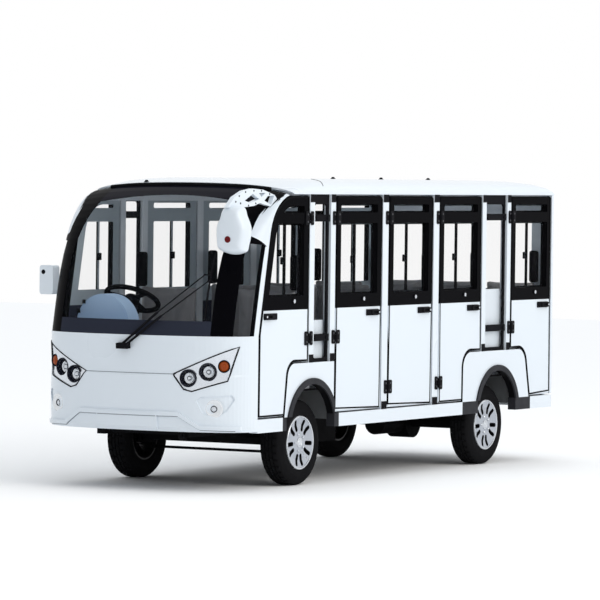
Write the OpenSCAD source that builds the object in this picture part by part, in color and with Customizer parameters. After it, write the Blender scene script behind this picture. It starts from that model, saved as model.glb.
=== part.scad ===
// Small electric sightseeing bus: five hinged doors a side, a curved glass front, four wheels.
// Row frame in millimetres: ground at z = 0, nose towards -Y, the bus's own left side at +X.

/* [Body] */
// width over the door skins
body_w = 1500; // [1480:10:1540]
// front tip of the nose to the first door's front edge
nose = 385; // [375:5:400]
// width of every door
door_w = 632; // [620:2:650]
// gap between a door and what stands next to it
door_gap = 9; // [8:0.5:10]
// width of the posts beside the front window slot
front_post_w = 63; // [56:1:70]
// width of the posts between two doors
mid_post_w = 79; // [76:1:90]
// width of the posts beside the rear window slot
rear_post_w = 58; // [56:1:66]
// width of the window slot over the front wheel
front_slot_w = 216; // [206:2:226]
// width of the window slot over the rear wheel
rear_slot_w = 322; // [312:2:332]
// thickness of the rear wall
rear_wall_t = 41; // [36:1:48]

/* [Heights] */
// underside of the sills
sill_z = 375; // [365:5:385]
// top of the floor
floor_z = 460; // [455:1:462]
// lower edge of the doors
door_z = 472; // [470:1:476]
// belt line, where the dark window band starts
belt_z = 1154; // [1140:2:1170]
// top edge of the doors
door_top_z = 1890; // [1885:1:1893]
// lower edge of the roof
roof_base_z = 1900; // [1898:1:1910]
// rise of the roof's crown over its lower edge
roof_rise = 100; // [80:5:120]
// lower edge of the front glass
cowl_z = 995; // [985:5:1005]

/* [Wheels] */
// distance of the front axle ahead of the front window slot's middle
front_axle_set = 117; // [112:1:122]
// distance of the rear axle behind the rear window slot's middle
rear_axle_set = 35; // [30:1:40]
// tyre outside radius
tyre_r = 280; // [270:2:284]
// tyre width
tyre_w = 160; // [150:2:164]
// wheel cover radius
cover_r = 178; // [172:1:182]
// distance of the tyres' outer faces from the body's sides
tyre_inset = 85; // [82:1:90]
// distance of the steering pivots from the wheels' middle planes
pivot_offset = 75; // [72:1:78]

/* [Seats] */
// height of the seat bases over the floor
seat_base_h = 340; // [320:5:360]
// thickness of the cushions
cushion_t = 95; // [80:5:110]
// height of the seat backs
back_h = 500; // [480:10:520]
// height of the padded posts at the ends of the seat rows
end_post_h = 700; // [680:10:720]

/* [Mounts] */
// radius of the tow eye holes
tow_hole_r = 13; // [11:0.5:15]
// thickness of the tow eye plates
tow_plate_t = 16; // [12:1:20]

/* [Hidden] */
$fn = 48;

// stations along the bus, counted from the front tip
half_w = body_w / 2;
s_d1 = nose;
s_p1 = s_d1 + door_w + door_gap;
s_p2 = s_p1 + front_post_w + front_slot_w;
s_d2 = s_p2 + front_post_w + door_gap;
s_p3 = s_d2 + door_w + door_gap;
s_d3 = s_p3 + mid_post_w + door_gap;
s_p4 = s_d3 + door_w + door_gap;
s_d4 = s_p4 + mid_post_w + door_gap;
s_p5 = s_d4 + door_w + door_gap;
s_p6 = s_p5 + rear_post_w + rear_slot_w;
s_d5 = s_p6 + rear_post_w + door_gap;
s_rear = s_d5 + door_w + door_gap;
body_l = s_rear + rear_wall_t;
s_axle_f = s_p1 + front_post_w + front_slot_w / 2 - front_axle_set;
s_axle_r = s_p5 + rear_post_w + rear_slot_w / 2 + rear_axle_set;

// doors: station of the front edge, hinge side (-1 front, 1 rear), height of the lower hinge
d_s = 0;
d_hinge = 1;
d_low = 2;
DOORS = [
    [s_d1, 1, 965],
    [s_d2, -1, 965],
    [s_d3, -1, 610],
    [s_d4, -1, 610],
    [s_d5, -1, 965]
];

// posts: station of the front edge, width, height of the foot
p_s = 0;
p_w = 1;
p_foot = 2;
arch_top = 806;
sill_top = 462;
POSTS = [
    [s_p1, front_post_w, arch_top],
    [s_p2, front_post_w, arch_top],
    [s_p3, mid_post_w, sill_top],
    [s_p4, mid_post_w, sill_top],
    [s_p5, rear_post_w, arch_top],
    [s_p6, rear_post_w, arch_top]
];

// window slots over the wheels: station of the front edge, width
SLOTS = [
    [s_p1 + front_post_w, front_slot_w],
    [s_p5 + rear_post_w, rear_slot_w]
];

// arch panels: foot stations and leans of both edges, corner radii
front_foot_s = s_axle_f - 359;
front_lean = 8;
front_corner_r = 90;
rear_foot_a_s = s_axle_r - 525;
rear_lean_a = 1;
rear_foot_b_s = s_axle_r + 494;
rear_lean_b = 13;
rear_corner_r = 110;
arch_z = 370;
arch_r = 295;
flare_w = 40;
flare_out = 12;

// door build
door_t = 46;
skin_t = 8;
skin_inset = 8;
glass_seat = 12;
glass_t = 5;
seat_lap = 10;
window_margin = 66;
window_low = belt_z + 89;
window_high = door_top_z - 180;
transom_low = door_top_z - 110;
transom_high = door_top_z - 55;
window_r = 12;
mullion_w = 22;
front_bend_z = 1000;
front_door_lean = 12;
front_door_r = 300;

// hinges and handles
hinge_out = 13;
knuckle_r = 9;
pin_r = 5;
pin_play = 0.3;
hinge_half_h = 45;
hinge_mid_half = 15;
hinge_leaf_l = 58;
hinge_post_l = 46;
hinge_leaf_r = 12;
hinge_slip = 0.5;
hinge_leaf_t = 7;
hinge_keep = 11;
hinge_high = 1745;
handle_z = 1116;
handle_l = 112;
handle_h = 34;
handle_t = 22;
handle_set = 105;
lock_r = 14;
lock_set = 60;

// window slots and post caps
slot_set = 34;
slot_rim_w = 24;
slot_rim_set = 16;
slot_head_h = 66;
slot_bar_h = 46;
slot_bar_set = 8;
slot_bolt_r = 13;
slot_bolt_set = 34;
slot_panel_t = 8;
// top edges of the inner panels behind the front and rear slot
SLOT_PANEL_Z = [1078, 1238];
cap_t = 3;
cap_h = 52;
cap_set = 4;

// pillars and wall depth
post_in = 52;
rail_w = 43;
rail_h = 60;
rail_s = 850;
sill_d = 60;
arch_panel_t = 46;
floor_t = 40;
floor_front_s = s_d1 + 20;

// front shell
front_n = 0.8;
shell_t = 12;
glass_front_t = 8;
quarter_a = 62.5;
pillar_a = 85;
quarter_v = 0.64;
joint_a = 0.25;
joint_v = 0.003;
pillar_t = 34;
lip_seat = 8;
step_a = 2.5;
fascia_step = 3.75;
crown_n = 0.5;

// running gear
hub_z = tyre_r;
wheel_x = half_w - tyre_inset - tyre_w / 2;
pivot_x = wheel_x - pivot_offset;
spindle_r = 20;
spindle_play = 0.3;
kingpin_r = 12;
kingpin_play = 0.3;
arm_l = 96;
arm_x = pivot_x;
tie_z = 225;
rail_out_x = pivot_x - 165;
rail_in_x = rail_out_x - 60;
rail_low_z = 340;
hub_depth = 28;

// seats
seat_base_l = 470;
cushion_l = seat_base_l - 80;
back_t = 80;
back_lean = 2;
end_post_w = 60;
end_post_t = 55;
end_post_r = 18;
seat_pitch3 = (body_w - 144) / 3;
seat_w3 = seat_pitch3 - 22;
seat_w2 = 480;
seat_pitch2 = half_w;
seat_l = cushion_l + back_t + back_h * tan(back_lean);

// seat rows: station of the base's front edge
SEAT_ROWS = [
    s_d1 + 295, s_p3 + 132 - seat_base_l, s_p4 + 132 - seat_base_l,
    s_p5 + 132 - seat_base_l, s_rear - 12 - seat_l
];

WHITE = [0.93, 0.94, 0.94];
BLACK = [0.04, 0.04, 0.05];
GREY = [0.55, 0.56, 0.58];
DARK = [0.1, 0.1, 0.11];
GLASS = [0.6, 0.7, 0.72, 0.35];
SILVER = [0.75, 0.76, 0.78];
RED = [0.6, 0.05, 0.04];

// row frame y of a station
function st(s) = s - body_l / 2;

// y of an edge's corner centre: foot, lean inwards, corner radius, top, base
function corner_y(foot, lean, r, top, base) =
    foot + tan(lean) * (top - r - base + r * sin(lean)) + r * cos(lean);

// first door's front edge grown by a gap: row y at a height
d1_y = st(s_d1);
d1_cz = door_top_z - front_door_r;
d1_cy = corner_y(d1_y, front_door_lean, front_door_r, door_top_z, front_bend_z);
function d1_edge(z, gap) =
    let (r = front_door_r + gap)
    z >= d1_cz + r * sin(front_door_lean)
        ? d1_cy - sqrt(max(0, r * r - pow(min(z - d1_cz, r), 2)))
        : max(d1_y - gap, d1_y + tan(front_door_lean) * (z - front_bend_z) - gap / cos(front_door_lean));

function spow(b, e) = b >= 0 ? pow(b, e) : -pow(-b, e);

// glass front: point at plan angle a, height fraction v, set inwards by off
front_tip = st(0);
front_sweep = 760;
front_drop = 55;
function front_y(v) = front_tip + front_sweep * (0.25 * v + 0.75 * pow(v, 4));
function front_z(a, v) = cowl_z + v * (roof_base_z + front_drop * pow(cos(a), 1.2) - cowl_z);
function front_side_y(v) = d1_edge(front_z(90, v), door_gap);
function front_pt(a, v, off) = [
    (half_w - off) * spow(sin(a), front_n),
    front_side_y(v) - (front_side_y(v) - front_y(v) - off) * spow(cos(a), front_n),
    front_z(a, v) - off * 0.7 * pow(v, 3) * cos(a)
];

// height fractions of its rows: even up to the quarter pane's top, then even round the door's corner
function v_at(z) = (z - cowl_z) / (roof_base_z - cowl_z);
function corner_v(t) =
    v_at(d1_cz + (front_door_r + door_gap) * sin(front_door_lean + t * (90 - front_door_lean)));
top_v = 1 - lip_seat / (roof_base_z - cowl_z);
QUARTER_V = [for (i = [0 : 6]) quarter_v * i / 6];
CHEEK_V = concat([quarter_v, (quarter_v + corner_v(0)) / 2], [for (i = [0 : 6]) corner_v(i / 8)], [top_v]);
FRONT_V = concat([for (i = [0 : 5]) QUARTER_V[i]], CHEEK_V);

// fascia rows: drop under the front glass, set back from the front tip
f_drop = 0;
f_set = 1;
FASCIA = [
    [610, 34], [580, 12], [525, 4], [435, 0], [345, 1], [257, 4], [243, 14], [135, 10], [0, 0]
];
fascia_side_y = st(s_d1) - door_gap;
function fascia_pt(a, j, off) = [
    (half_w - off) * spow(sin(a), front_n),
    fascia_side_y - (fascia_side_y - front_tip - FASCIA[j][f_set] - off) * spow(cos(a), front_n),
    cowl_z - FASCIA[j][f_drop]
];

// roof: front edge follows the glass front, sections behind it
roof_t = 24;
lip_t = 12;
lip_gap = 2;
lip_out = 6;
ROOF_S = [0, 0.12, 0.3, 0.55, 0.8, 1];
ROOF_REAR = [[-330, 1], [-180, 0.93], [-80, 0.78], [-25, 0.55], [0, 0.3]];
roof_flat_s = s_p2 - 75;
function roof_sec(a, rise, off) = [
    (half_w - off) * spow(sin(a), crown_n),
    roof_base_z + (rise - min(off, 0.7 * rise)) * spow(cos(a), crown_n)
];
function roof_front_pt(a, w, off) =
    let (f = front_pt(a, 1, 0))
    let (s = roof_sec(a, roof_rise, off))
    let (e = 1 - pow(1 - w, 2))
    let (c = spow(cos(a), crown_n))
    [
        f[0] * (1 - w) * (half_w - off) / half_w + s[0] * w,
        (f[1] - lip_out * c) * (1 - w) + st(roof_flat_s) * w,
        (f[2] + (lip_gap + lip_t * (1 - off / roof_t)) * c) * (1 - e) + s[1] * e
    ];
function roof_rear_pt(a, j, off) =
    let (s = roof_sec(a, roof_rise * ROOF_REAR[j][1], off))
    [s[0], st(body_l) + ROOF_REAR[j][0], s[1]];

// closed shell between an outer and an inner grid of points
module grid_shell(outer, inner) {
    nu = len(outer);
    nv = len(outer[0]);
    n = nu * nv;
    points = concat([for (row = outer) each row], [for (row = inner) each row]);
    skin = [
        for (i = [0 : nu - 2])
            for (j = [0 : nv - 2])
                each [
                    [i * nv + j, (i + 1) * nv + j + 1, (i + 1) * nv + j],
                    [i * nv + j, i * nv + j + 1, (i + 1) * nv + j + 1]
                ]
    ];
    lining = [for (f = skin) [f[2] + n, f[1] + n, f[0] + n]];
    low = [
        for (i = [0 : nu - 2])
            let (p = i * nv)
            let (q = p + nv)
            each [[p, q, q + n], [p, q + n, p + n]]
    ];
    high = [
        for (i = [0 : nu - 2])
            let (p = i * nv + nv - 1)
            let (q = p + nv)
            each [[q, p, p + n], [q, p + n, q + n]]
    ];
    left = [
        for (j = [0 : nv - 2])
            each [[j + 1, j, j + n], [j + 1, j + n, j + 1 + n]]
    ];
    right = [
        for (j = [0 : nv - 2])
            let (p = n - nv + j)
            each [[p, p + 1, p + 1 + n], [p, p + 1 + n, p + n]]
    ];
    polyhedron(points, concat(skin, lining, low, high, left, right), convexity = 6);
}

// piece of the glass front between two plan angles, over rows of height fractions
module front_shell(a0, a1, rows, off0, off1) {
    na = round((a1 - a0) / step_a);
    function grid(off) = [
        for (i = [0 : na])
            [for (v = rows) front_pt(a0 + (a1 - a0) * i / na, v, off)]
    ];
    grid_shell(grid(off0), grid(off1));
}

// shape in the side view, carried across one side of the bus between two depths
module on_side(side, x0, x1) {
    mirror([side < 0 ? 1 : 0, 0, 0])
        translate([x0, 0, 0])
            rotate([90, 0, 90])
                linear_extrude(x1 - x0)
                    children();
}

// rectangle with round corners
module rrect(y0, z0, y1, z1, r) {
    translate([y0 + r, z0])
        square([y1 - y0 - 2 * r, z1 - z0]);
    translate([y0, z0 + r])
        square([y1 - y0, z1 - z0 - 2 * r]);
    for (y = [y0 + r, y1 - r])
        for (z = [z0 + r, z1 - r])
            translate([y, z])
                circle(r);
}

// side view of a wheel's arch panel, grown on its free edges
module arch_outline(rear, grow) {
    base = sill_top - 60;
    foot_a = st(rear ? rear_foot_a_s : front_foot_s);
    lean_a = rear ? rear_lean_a : front_lean;
    r = rear ? rear_corner_r : front_corner_r;
    ca = corner_y(foot_a, lean_a, r, arch_top, sill_top);
    cz = arch_top - r;
    end_y = rear ? st(rear_foot_b_s) : st(s_p2 + front_post_w);
    lean_b = rear ? rear_lean_b : 0;
    cb = rear ? -corner_y(-end_y, lean_b, r, arch_top, sill_top) : end_y;
    rg = r + grow;
    drop_a = cz + rg * sin(lean_a) - base;
    drop_b = cz + rg * sin(lean_b) - base;
    polygon(concat(
        [[ca - rg * cos(lean_a) - drop_a * tan(lean_a), base]],
        [[ca - rg * cos(lean_a), cz + rg * sin(lean_a)]],
        [[ca, arch_top + grow]],
        [[cb, arch_top + grow]],
        rear ? [[cb + rg * cos(lean_b), cz + rg * sin(lean_b)]] : [],
        [[rear ? cb + rg * cos(lean_b) + drop_b * tan(lean_b) : cb, base]]
    ));
    translate([ca, cz])
        circle(rg);
    if (rear) {
        translate([cb, cz])
            circle(rg);
    }
}

// side view of a door, drawn smaller on every edge
module door_outline(k, inset) {
    y0 = st(DOORS[k][d_s]) + inset;
    y1 = st(DOORS[k][d_s] + door_w) - inset;
    z0 = door_z + inset;
    z1 = door_top_z - inset;
    r = max(4, 14 - inset);
    difference() {
        if (k == 0) {
            ri = front_door_r - inset;
            intersection() {
                union() {
                    polygon([
                        [y0, z0], [y0, front_bend_z],
                        [d1_cy - ri * cos(front_door_lean), d1_cz + ri * sin(front_door_lean)],
                        [d1_cy, z1], [y1, z1], [y1, z0]
                    ]);
                    translate([d1_cy, d1_cz])
                        circle(ri, $fn = 72);
                }
                translate([y0 - 50, z0])
                    square([y1 - y0 + 50, z1 - z0]);
            }
        } else {
            rrect(y0, z0, y1, z1, r);
        }
        if (k == 0)
            arch_outline(false, door_gap + inset);
        if (k > 2)
            arch_outline(true, door_gap + inset);
    }
}

// side view of a door's two panes: 0 main window, 1 transom
module pane_outline(k, part, inset) {
    y0 = st(DOORS[k][d_s]) + window_margin + inset;
    y1 = st(DOORS[k][d_s] + door_w) - window_margin - inset;
    z0 = (part == 0 ? window_low : transom_low) + inset;
    z1 = (part == 0 ? window_high : transom_high) - inset;
    if (k == 0) {
        intersection() {
            door_outline(0, window_margin + inset);
            rrect(y0 - 20, z0, y1, z1, window_r);
        }
    } else {
        rrect(y0, z0, y1, z1, window_r);
    }
}

// middle of a door's window
function mullion_y(k) = st(DOORS[k][d_s] + door_w / 2 + (k == 0 ? 60 : 0));

// row y of a door's hinge axis
function hinge_y(k) =
    DOORS[k][d_hinge] < 0 ? st(DOORS[k][d_s]) - door_gap / 2
    : st(DOORS[k][d_s] + door_w) + door_gap / 2;

// one door with its window frame, hinge leaves and handle
module door(side, k) {
    x_in = half_w - door_t;
    difference() {
        union() {
            on_side(side, x_in, half_w - skin_t)
                door_outline(k, 0);
            on_side(side, half_w - skin_t, half_w)
                door_outline(k, skin_inset);
        }
        for (part = [0, 1]) {
            on_side(side, x_in + glass_seat, half_w + 5)
                pane_outline(k, part, 0);
            on_side(side, x_in - 5, x_in + glass_seat)
                pane_outline(k, part, seat_lap);
        }
    }
    on_side(side, x_in, x_in + glass_seat)
        translate([mullion_y(k) - mullion_w / 2, window_low])
            square([mullion_w, window_high - window_low]);
    for (z = [hinge_high, DOORS[k][d_low]])
        door_hinge(side, k, z);
    door_handle(side, k);
}

// door half of a hinge: leaf and two outer knuckles
module door_hinge(side, k, z) {
    d = -DOORS[k][d_hinge];
    yh = hinge_y(k);
    on_side(side, half_w, half_w + hinge_leaf_t)
        rrect(d > 0 ? yh + hinge_keep : yh - hinge_leaf_l, z - hinge_half_h,
            d > 0 ? yh + hinge_leaf_l : yh - hinge_keep, z + hinge_half_h, hinge_leaf_r);
    knuckle_h = hinge_half_h - hinge_mid_half - hinge_slip - hinge_leaf_r;
    mirror([side < 0 ? 1 : 0, 0, 0])
        difference() {
            for (zz = [z - hinge_half_h + hinge_leaf_r, z + hinge_mid_half + hinge_slip])
                translate([0, 0, zz]) {
                    translate([half_w + hinge_out, yh, 0])
                        cylinder(r = knuckle_r, h = knuckle_h);
                    translate([half_w + 1, d > 0 ? yh : yh - hinge_keep - 4, 0])
                        cube([hinge_out, hinge_keep + 4, knuckle_h]);
                }
            translate([half_w + hinge_out, yh, z - hinge_half_h - 5])
                cylinder(r = pin_r + pin_play, h = 2 * hinge_half_h + 10);
        }
}

// pull handle under the belt line, at the free edge
module door_handle(side, k) {
    d = -DOORS[k][d_hinge];
    y_free = d > 0 ? st(DOORS[k][d_s] + door_w) : st(DOORS[k][d_s]);
    y_mid = y_free - d * handle_set;
    on_side(side, half_w, half_w + handle_t)
        difference() {
            rrect(y_mid - handle_l / 2, handle_z - handle_h / 2,
                y_mid + handle_l / 2, handle_z + handle_h / 2, 12);
            rrect(y_mid - handle_l / 2 + 14, handle_z - handle_h / 2 + 9,
                y_mid + handle_l / 2 - 30, handle_z + handle_h / 2 - 9, 6);
        }
    on_side(side, half_w, half_w + 8)
        translate([mullion_y(k) + lock_set, window_low - 34])
            circle(lock_r);
}

// panes of one door
module door_glass(side, k) {
    x0 = half_w - door_t + glass_seat;
    on_side(side, x0, x0 + glass_t) {
        pane_outline(k, 0, 1);
        pane_outline(k, 1, 1);
    }
}

module hinge_leaves() {
    color(BLACK) {
        for (side = [-1, 1])
            for (k = [0 : len(DOORS) - 1])
                for (z = [hinge_high, DOORS[k][d_low]])
                    post_hinge(side, k, z);
        slot_bars();
        post_caps();
    }
}

// post half of a hinge: leaf, middle knuckle and pin
module post_hinge(side, k, z) {
    d = -DOORS[k][d_hinge];
    yh = hinge_y(k);
    on_side(side, half_w, half_w + hinge_leaf_t)
        rrect(d > 0 ? yh - hinge_post_l : yh + hinge_keep, z - hinge_half_h,
            d > 0 ? yh - hinge_keep : yh + hinge_post_l, z + hinge_half_h, hinge_leaf_r);
    mirror([side < 0 ? 1 : 0, 0, 0]) {
        translate([half_w + hinge_out, yh, z - hinge_mid_half])
            cylinder(r = knuckle_r, h = 2 * hinge_mid_half);
        translate([half_w + 1, d > 0 ? yh - hinge_keep - 4 : yh, z - hinge_mid_half])
            cube([hinge_out, hinge_keep + 4, 2 * hinge_mid_half]);
        translate([half_w + hinge_out, yh, z - hinge_half_h + hinge_leaf_r])
            cylinder(r = pin_r, h = 2 * (hinge_half_h - hinge_leaf_r));
    }
}

module side_posts() {
    color(WHITE)
        for (side = [-1, 1]) {
            for (p = POSTS)
                on_side(side, half_w - post_in, half_w)
                    translate([st(p[p_s]), p[p_foot]])
                        square([p[p_w], roof_base_z - p[p_foot]]);
            on_side(side, half_w - post_in - rail_w, half_w - post_in)
                translate([st(rail_s), roof_base_z - rail_h])
                    square([s_rear - rail_s, rail_h]);
            for (i = [0, 1])
                on_side(side, half_w - post_in, half_w - post_in + slot_panel_t)
                    translate([st(SLOTS[i][0]), arch_top])
                        square([SLOTS[i][1], SLOT_PANEL_Z[i] - arch_top]);
        }
}

module slot_panes() {
    for (side = [-1, 1])
        for (s = SLOTS)
            on_side(side, half_w - slot_set, half_w - slot_set + glass_t)
                translate([st(s[0]), arch_top])
                    square([s[1], roof_base_z - arch_top]);
}

// rubber frames of the window slots, bars across them and the bars' bolts
module slot_bars() {
    x_bar = half_w - slot_set + glass_t;
    for (side = [-1, 1])
        for (s = SLOTS) {
            on_side(side, x_bar, half_w - slot_rim_set)
                difference() {
                    translate([st(s[0]), arch_top])
                        square([s[1], roof_base_z - arch_top]);
                    rrect(st(s[0]) + slot_rim_w, arch_top + slot_rim_w,
                        st(s[0] + s[1]) - slot_rim_w, roof_base_z - slot_head_h, slot_rim_w);
                }
            for (z = [hinge_high, DOORS[0][d_low]]) {
                on_side(side, x_bar, half_w - slot_bar_set)
                    translate([st(s[0]), z - slot_bar_h / 2])
                        square([s[1], slot_bar_h]);
                for (y = [st(s[0]) + slot_bolt_set, st(s[0] + s[1]) - slot_bolt_set])
                    on_side(side, half_w - slot_bar_set, half_w)
                        translate([y, z])
                            circle(slot_bolt_r);
            }
        }
}

// dark plates on the heads and feet of the posts
module post_caps() {
    for (side = [-1, 1])
        for (p = POSTS)
            for (z = [p[p_foot], roof_base_z - cap_h])
                on_side(side, half_w, half_w + cap_t)
                    translate([st(p[p_s]) + cap_set, z])
                        square([p[p_w] - 2 * cap_set, cap_h]);
}

module arch_panels() {
    color(WHITE)
        for (side = [-1, 1])
            for (rear = [false, true])
                on_side(side, half_w - arch_panel_t, half_w)
                    difference() {
                        intersection() {
                            arch_outline(rear, 0);
                            translate([-body_l, sill_top])
                                square([2 * body_l, 1000]);
                        }
                        translate([st(rear ? s_axle_r : s_axle_f), arch_z])
                            circle(arch_r, $fn = 96);
                    }
}

// mud blocks at the sill: front end station, rear end station
flare_cut_s = s_d2 - door_gap;
MUD_BLOCKS = [
    [front_foot_s - 22, front_foot_s + 28],
    [s_d2 + 4, s_d2 + 64],
    [rear_foot_a_s, s_axle_r - arch_r + 7],
    [s_axle_r + arch_r - 4, rear_foot_b_s + 28]
];

module arch_flares() {
    color(DARK)
        for (side = [-1, 1]) {
            for (rear = [false, true])
                on_side(side, half_w, half_w + flare_out)
                    intersection() {
                        translate([st(rear ? s_axle_r : s_axle_f), arch_z])
                            difference() {
                                circle(arch_r + flare_w, $fn = 96);
                                circle(arch_r, $fn = 96);
                            }
                        translate([-body_l, sill_top])
                            square([rear ? 2 * body_l : body_l + st(flare_cut_s), 1000]);
                    }
            for (b = MUD_BLOCKS)
                on_side(side, half_w - sill_d, half_w)
                    translate([st(b[0]), sill_z])
                        square([b[1] - b[0], sill_top - sill_z]);
        }
}

// sill pieces between the mud blocks: front end station, rear end station
SILLS = [
    [s_d1 - door_gap, MUD_BLOCKS[0][0]],
    [MUD_BLOCKS[1][1], MUD_BLOCKS[2][0]],
    [MUD_BLOCKS[3][1], body_l - 12]
];

module sills() {
    color(WHITE)
        for (side = [-1, 1])
            for (b = SILLS)
                on_side(side, half_w - sill_d, half_w)
                    translate([st(b[0]), sill_z])
                        square([b[1] - b[0], sill_top - sill_z]);
}

// headlamp outline in the front view: distance in from the side, drop under the front glass
HEADLAMP = [[420, 243], [345, 335], [295, 347], [95, 280], [45, 70]];
// fog lamp recess, in the same two sizes
FOG_RECESS = [[266, 408], [240, 385], [70, 372], [58, 400], [95, 475], [150, 512], [230, 490]];
fog_depth = 7;
// round lamps: distance in from the side, drop under the front glass, radius
l_in = 0;
l_drop = 1;
l_r = 2;
LAMPS = [[322, 267, 52], [205, 227, 54], [116, 189, 38]];
FOG_LAMP = [165, 460, 28];
bezel_in = 4;
lens_out = 3;
// raised moulding over the nose's lower edge: x as a share of the half width, drop of its upper edge
RIDGE = [[0, 481], [0.49, 481], [0.67, 566], [0.96, 571]];
ridge_h = 28;
ridge_out = 10;
plate_w = 450;
plate_drop = [490, 595];
plate_out = 14;

function in_front(p) = [half_w - p[0], cowl_z - p[1]];

// outline in the front view, carried back through the nose of one side
module from_front(side) {
    mirror([side < 0 ? 1 : 0, 0, 0])
        translate([0, st(s_d1), 0])
            rotate([90, 0, 0])
                linear_extrude(s_d1 + 100)
                    children();
}

module fascia_shell(off0, off1) {
    na = 180 / fascia_step;
    function grid(off) = [
        for (i = [0 : na])
            [for (j = [0 : len(FASCIA) - 1]) fascia_pt(-90 + fascia_step * i, j, off)]
    ];
    grid_shell(grid(off0), grid(off1));
}

module ridge_outline() {
    polygon(concat(
        [for (p = RIDGE) [p[0] * half_w, cowl_z - p[1]]],
        [for (i = [len(RIDGE) - 1 : -1 : 0]) [RIDGE[i][0] * half_w, cowl_z - RIDGE[i][1] - ridge_h]]
    ));
}

module front_fascia() {
    color(WHITE) {
        difference() {
            fascia_shell(0, shell_t);
            for (side = [-1, 1])
                from_front(side)
                    polygon([for (p = HEADLAMP) in_front(p)]);
            intersection() {
                fascia_shell(-shell_t, fog_depth);
                for (side = [-1, 1])
                    from_front(side)
                        polygon([for (p = FOG_RECESS) in_front(p)]);
            }
        }
        intersection() {
            fascia_shell(-ridge_out, shell_t / 2);
            for (side = [-1, 1])
                from_front(side)
                    ridge_outline();
        }
        intersection() {
            fascia_shell(-plate_out, shell_t / 3);
            from_front(1)
                translate([-plate_w / 2, cowl_z - plate_drop[1]])
                    square([plate_w, plate_drop[1] - plate_drop[0]]);
        }
    }
}

module headlamps() {
    color(SILVER)
        intersection() {
            fascia_shell(bezel_in, shell_t);
            for (side = [-1, 1])
                from_front(side)
                    polygon([for (p = HEADLAMP) in_front(p)]);
        }
}

module lamp_disc(l) {
    translate(in_front(l))
        circle(l[l_r], $fn = 32);
}

module lamp_lenses() {
    color(GLASS) {
        intersection() {
            fascia_shell(-lens_out, bezel_in);
            for (side = [-1, 1])
                from_front(side)
                    for (l = LAMPS)
                        lamp_disc(l);
        }
        intersection() {
            fascia_shell(0, fog_depth);
            for (side = [-1, 1])
                from_front(side)
                    lamp_disc(FOG_LAMP);
        }
    }
}

module windscreen() {
    color(GLASS)
        front_shell(-quarter_a + joint_a, quarter_a - joint_a, FRONT_V, 0, glass_front_t);
}

module front_cheek(depth) {
    front_shell(quarter_a, 90, CHEEK_V, 0, depth);
}

module front_pillar(side) {
    mirror([side < 0 ? 1 : 0, 0, 0]) {
        front_shell(pillar_a, 90, QUARTER_V, 0, pillar_t);
        front_cheek(pillar_t);
    }
}

module front_pillars() {
    color(WHITE)
        for (side = [-1, 1])
            front_pillar(side);
}

module quarter_panes() {
    rows = concat([for (i = [0 : 5]) QUARTER_V[i]], [quarter_v - joint_v]);
    for (side = [-1, 1])
        mirror([side < 0 ? 1 : 0, 0, 0])
            front_shell(quarter_a + joint_a, pillar_a - joint_a, rows, 0, glass_front_t);
}

module fixed_glass() {
    color(GLASS) {
        quarter_panes();
        slot_panes();
        rear_pane();
    }
}

module roof() {
    na = 180 / step_a;
    function grid(off) = [
        for (i = [0 : na])
            let (a = -90 + step_a * i)
            concat(
                [for (w = ROOF_S) roof_front_pt(a, w, off)],
                [for (j = [0 : len(ROOF_REAR) - 1]) roof_rear_pt(a, j, off)]
            )
    ];
    color(WHITE)
        grid_shell(grid(0), grid(roof_t));
}

// rear wall openings
rear_window = [-half_w + 150, belt_z + 56, half_w - 150, roof_base_z - 150];
rear_skin_set = 12;
rear_seat = 12;

module on_rear(s0, s1) {
    translate([0, st(s1), 0])
        rotate([90, 0, 0])
            linear_extrude(s1 - s0)
                children();
}

module rear_wall() {
    color(WHITE)
        difference() {
            on_rear(s_rear, body_l - rear_skin_set)
                rrect(-half_w, door_z, half_w, roof_base_z, 6);
            on_rear(s_rear + rear_seat, body_l)
                rrect(rear_window[0], rear_window[1], rear_window[2], rear_window[3], 60);
            on_rear(s_rear - 5, s_rear + rear_seat)
                rrect(rear_window[0] + seat_lap, rear_window[1] + seat_lap,
                    rear_window[2] - seat_lap, rear_window[3] - seat_lap, 50);
        }
}

module rear_pane() {
    on_rear(s_rear + rear_seat, s_rear + rear_seat + glass_t)
        rrect(rear_window[0] + 1, rear_window[1] + 1, rear_window[2] - 1, rear_window[3] - 1, 59);
}

// tail lamps: height over the doors' lower edge
TAIL_UP = [228, 328, 428];
tail_r = 44;

module tail_lamps() {
    color(RED)
        on_rear(body_l - rear_skin_set, body_l)
            for (side = [-1, 1])
                for (up = TAIL_UP)
                    translate([side * (half_w - 95), door_z + up])
                        circle(tail_r);
}

module rear_bumper() {
    color(WHITE)
        difference() {
            on_rear(s_rear, body_l)
                rrect(-half_w + sill_d + 2, sill_z, half_w - sill_d - 2, door_z, 8);
            translate([tow_x - tow_plate_t / 2 - tow_gap, st(s_rear) - 1, sill_z - 1])
                cube([tow_plate_t + 2 * tow_gap, body_l, tow_z + tow_r + tow_gap - sill_z + 1]);
        }
}

// wheel boxes in the floor: axle station, inner x, top
box_half_l = tyre_r + 70;
box_t = 12;
box_top = 2 * tyre_r + 60;
BOXES = [
    [s_axle_f, pivot_x - 158],
    [s_axle_r, wheel_x - 115]
];

module wheel_boxes(grow) {
    for (side = [-1, 1])
        for (b = BOXES)
            mirror([side < 0 ? 1 : 0, 0, 0])
                translate([b[1] - grow, st(b[0]) - box_half_l - grow, 0])
                    cube([half_w - arch_panel_t - b[1] + grow, 2 * (box_half_l + grow), box_top + grow]);
}

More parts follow.
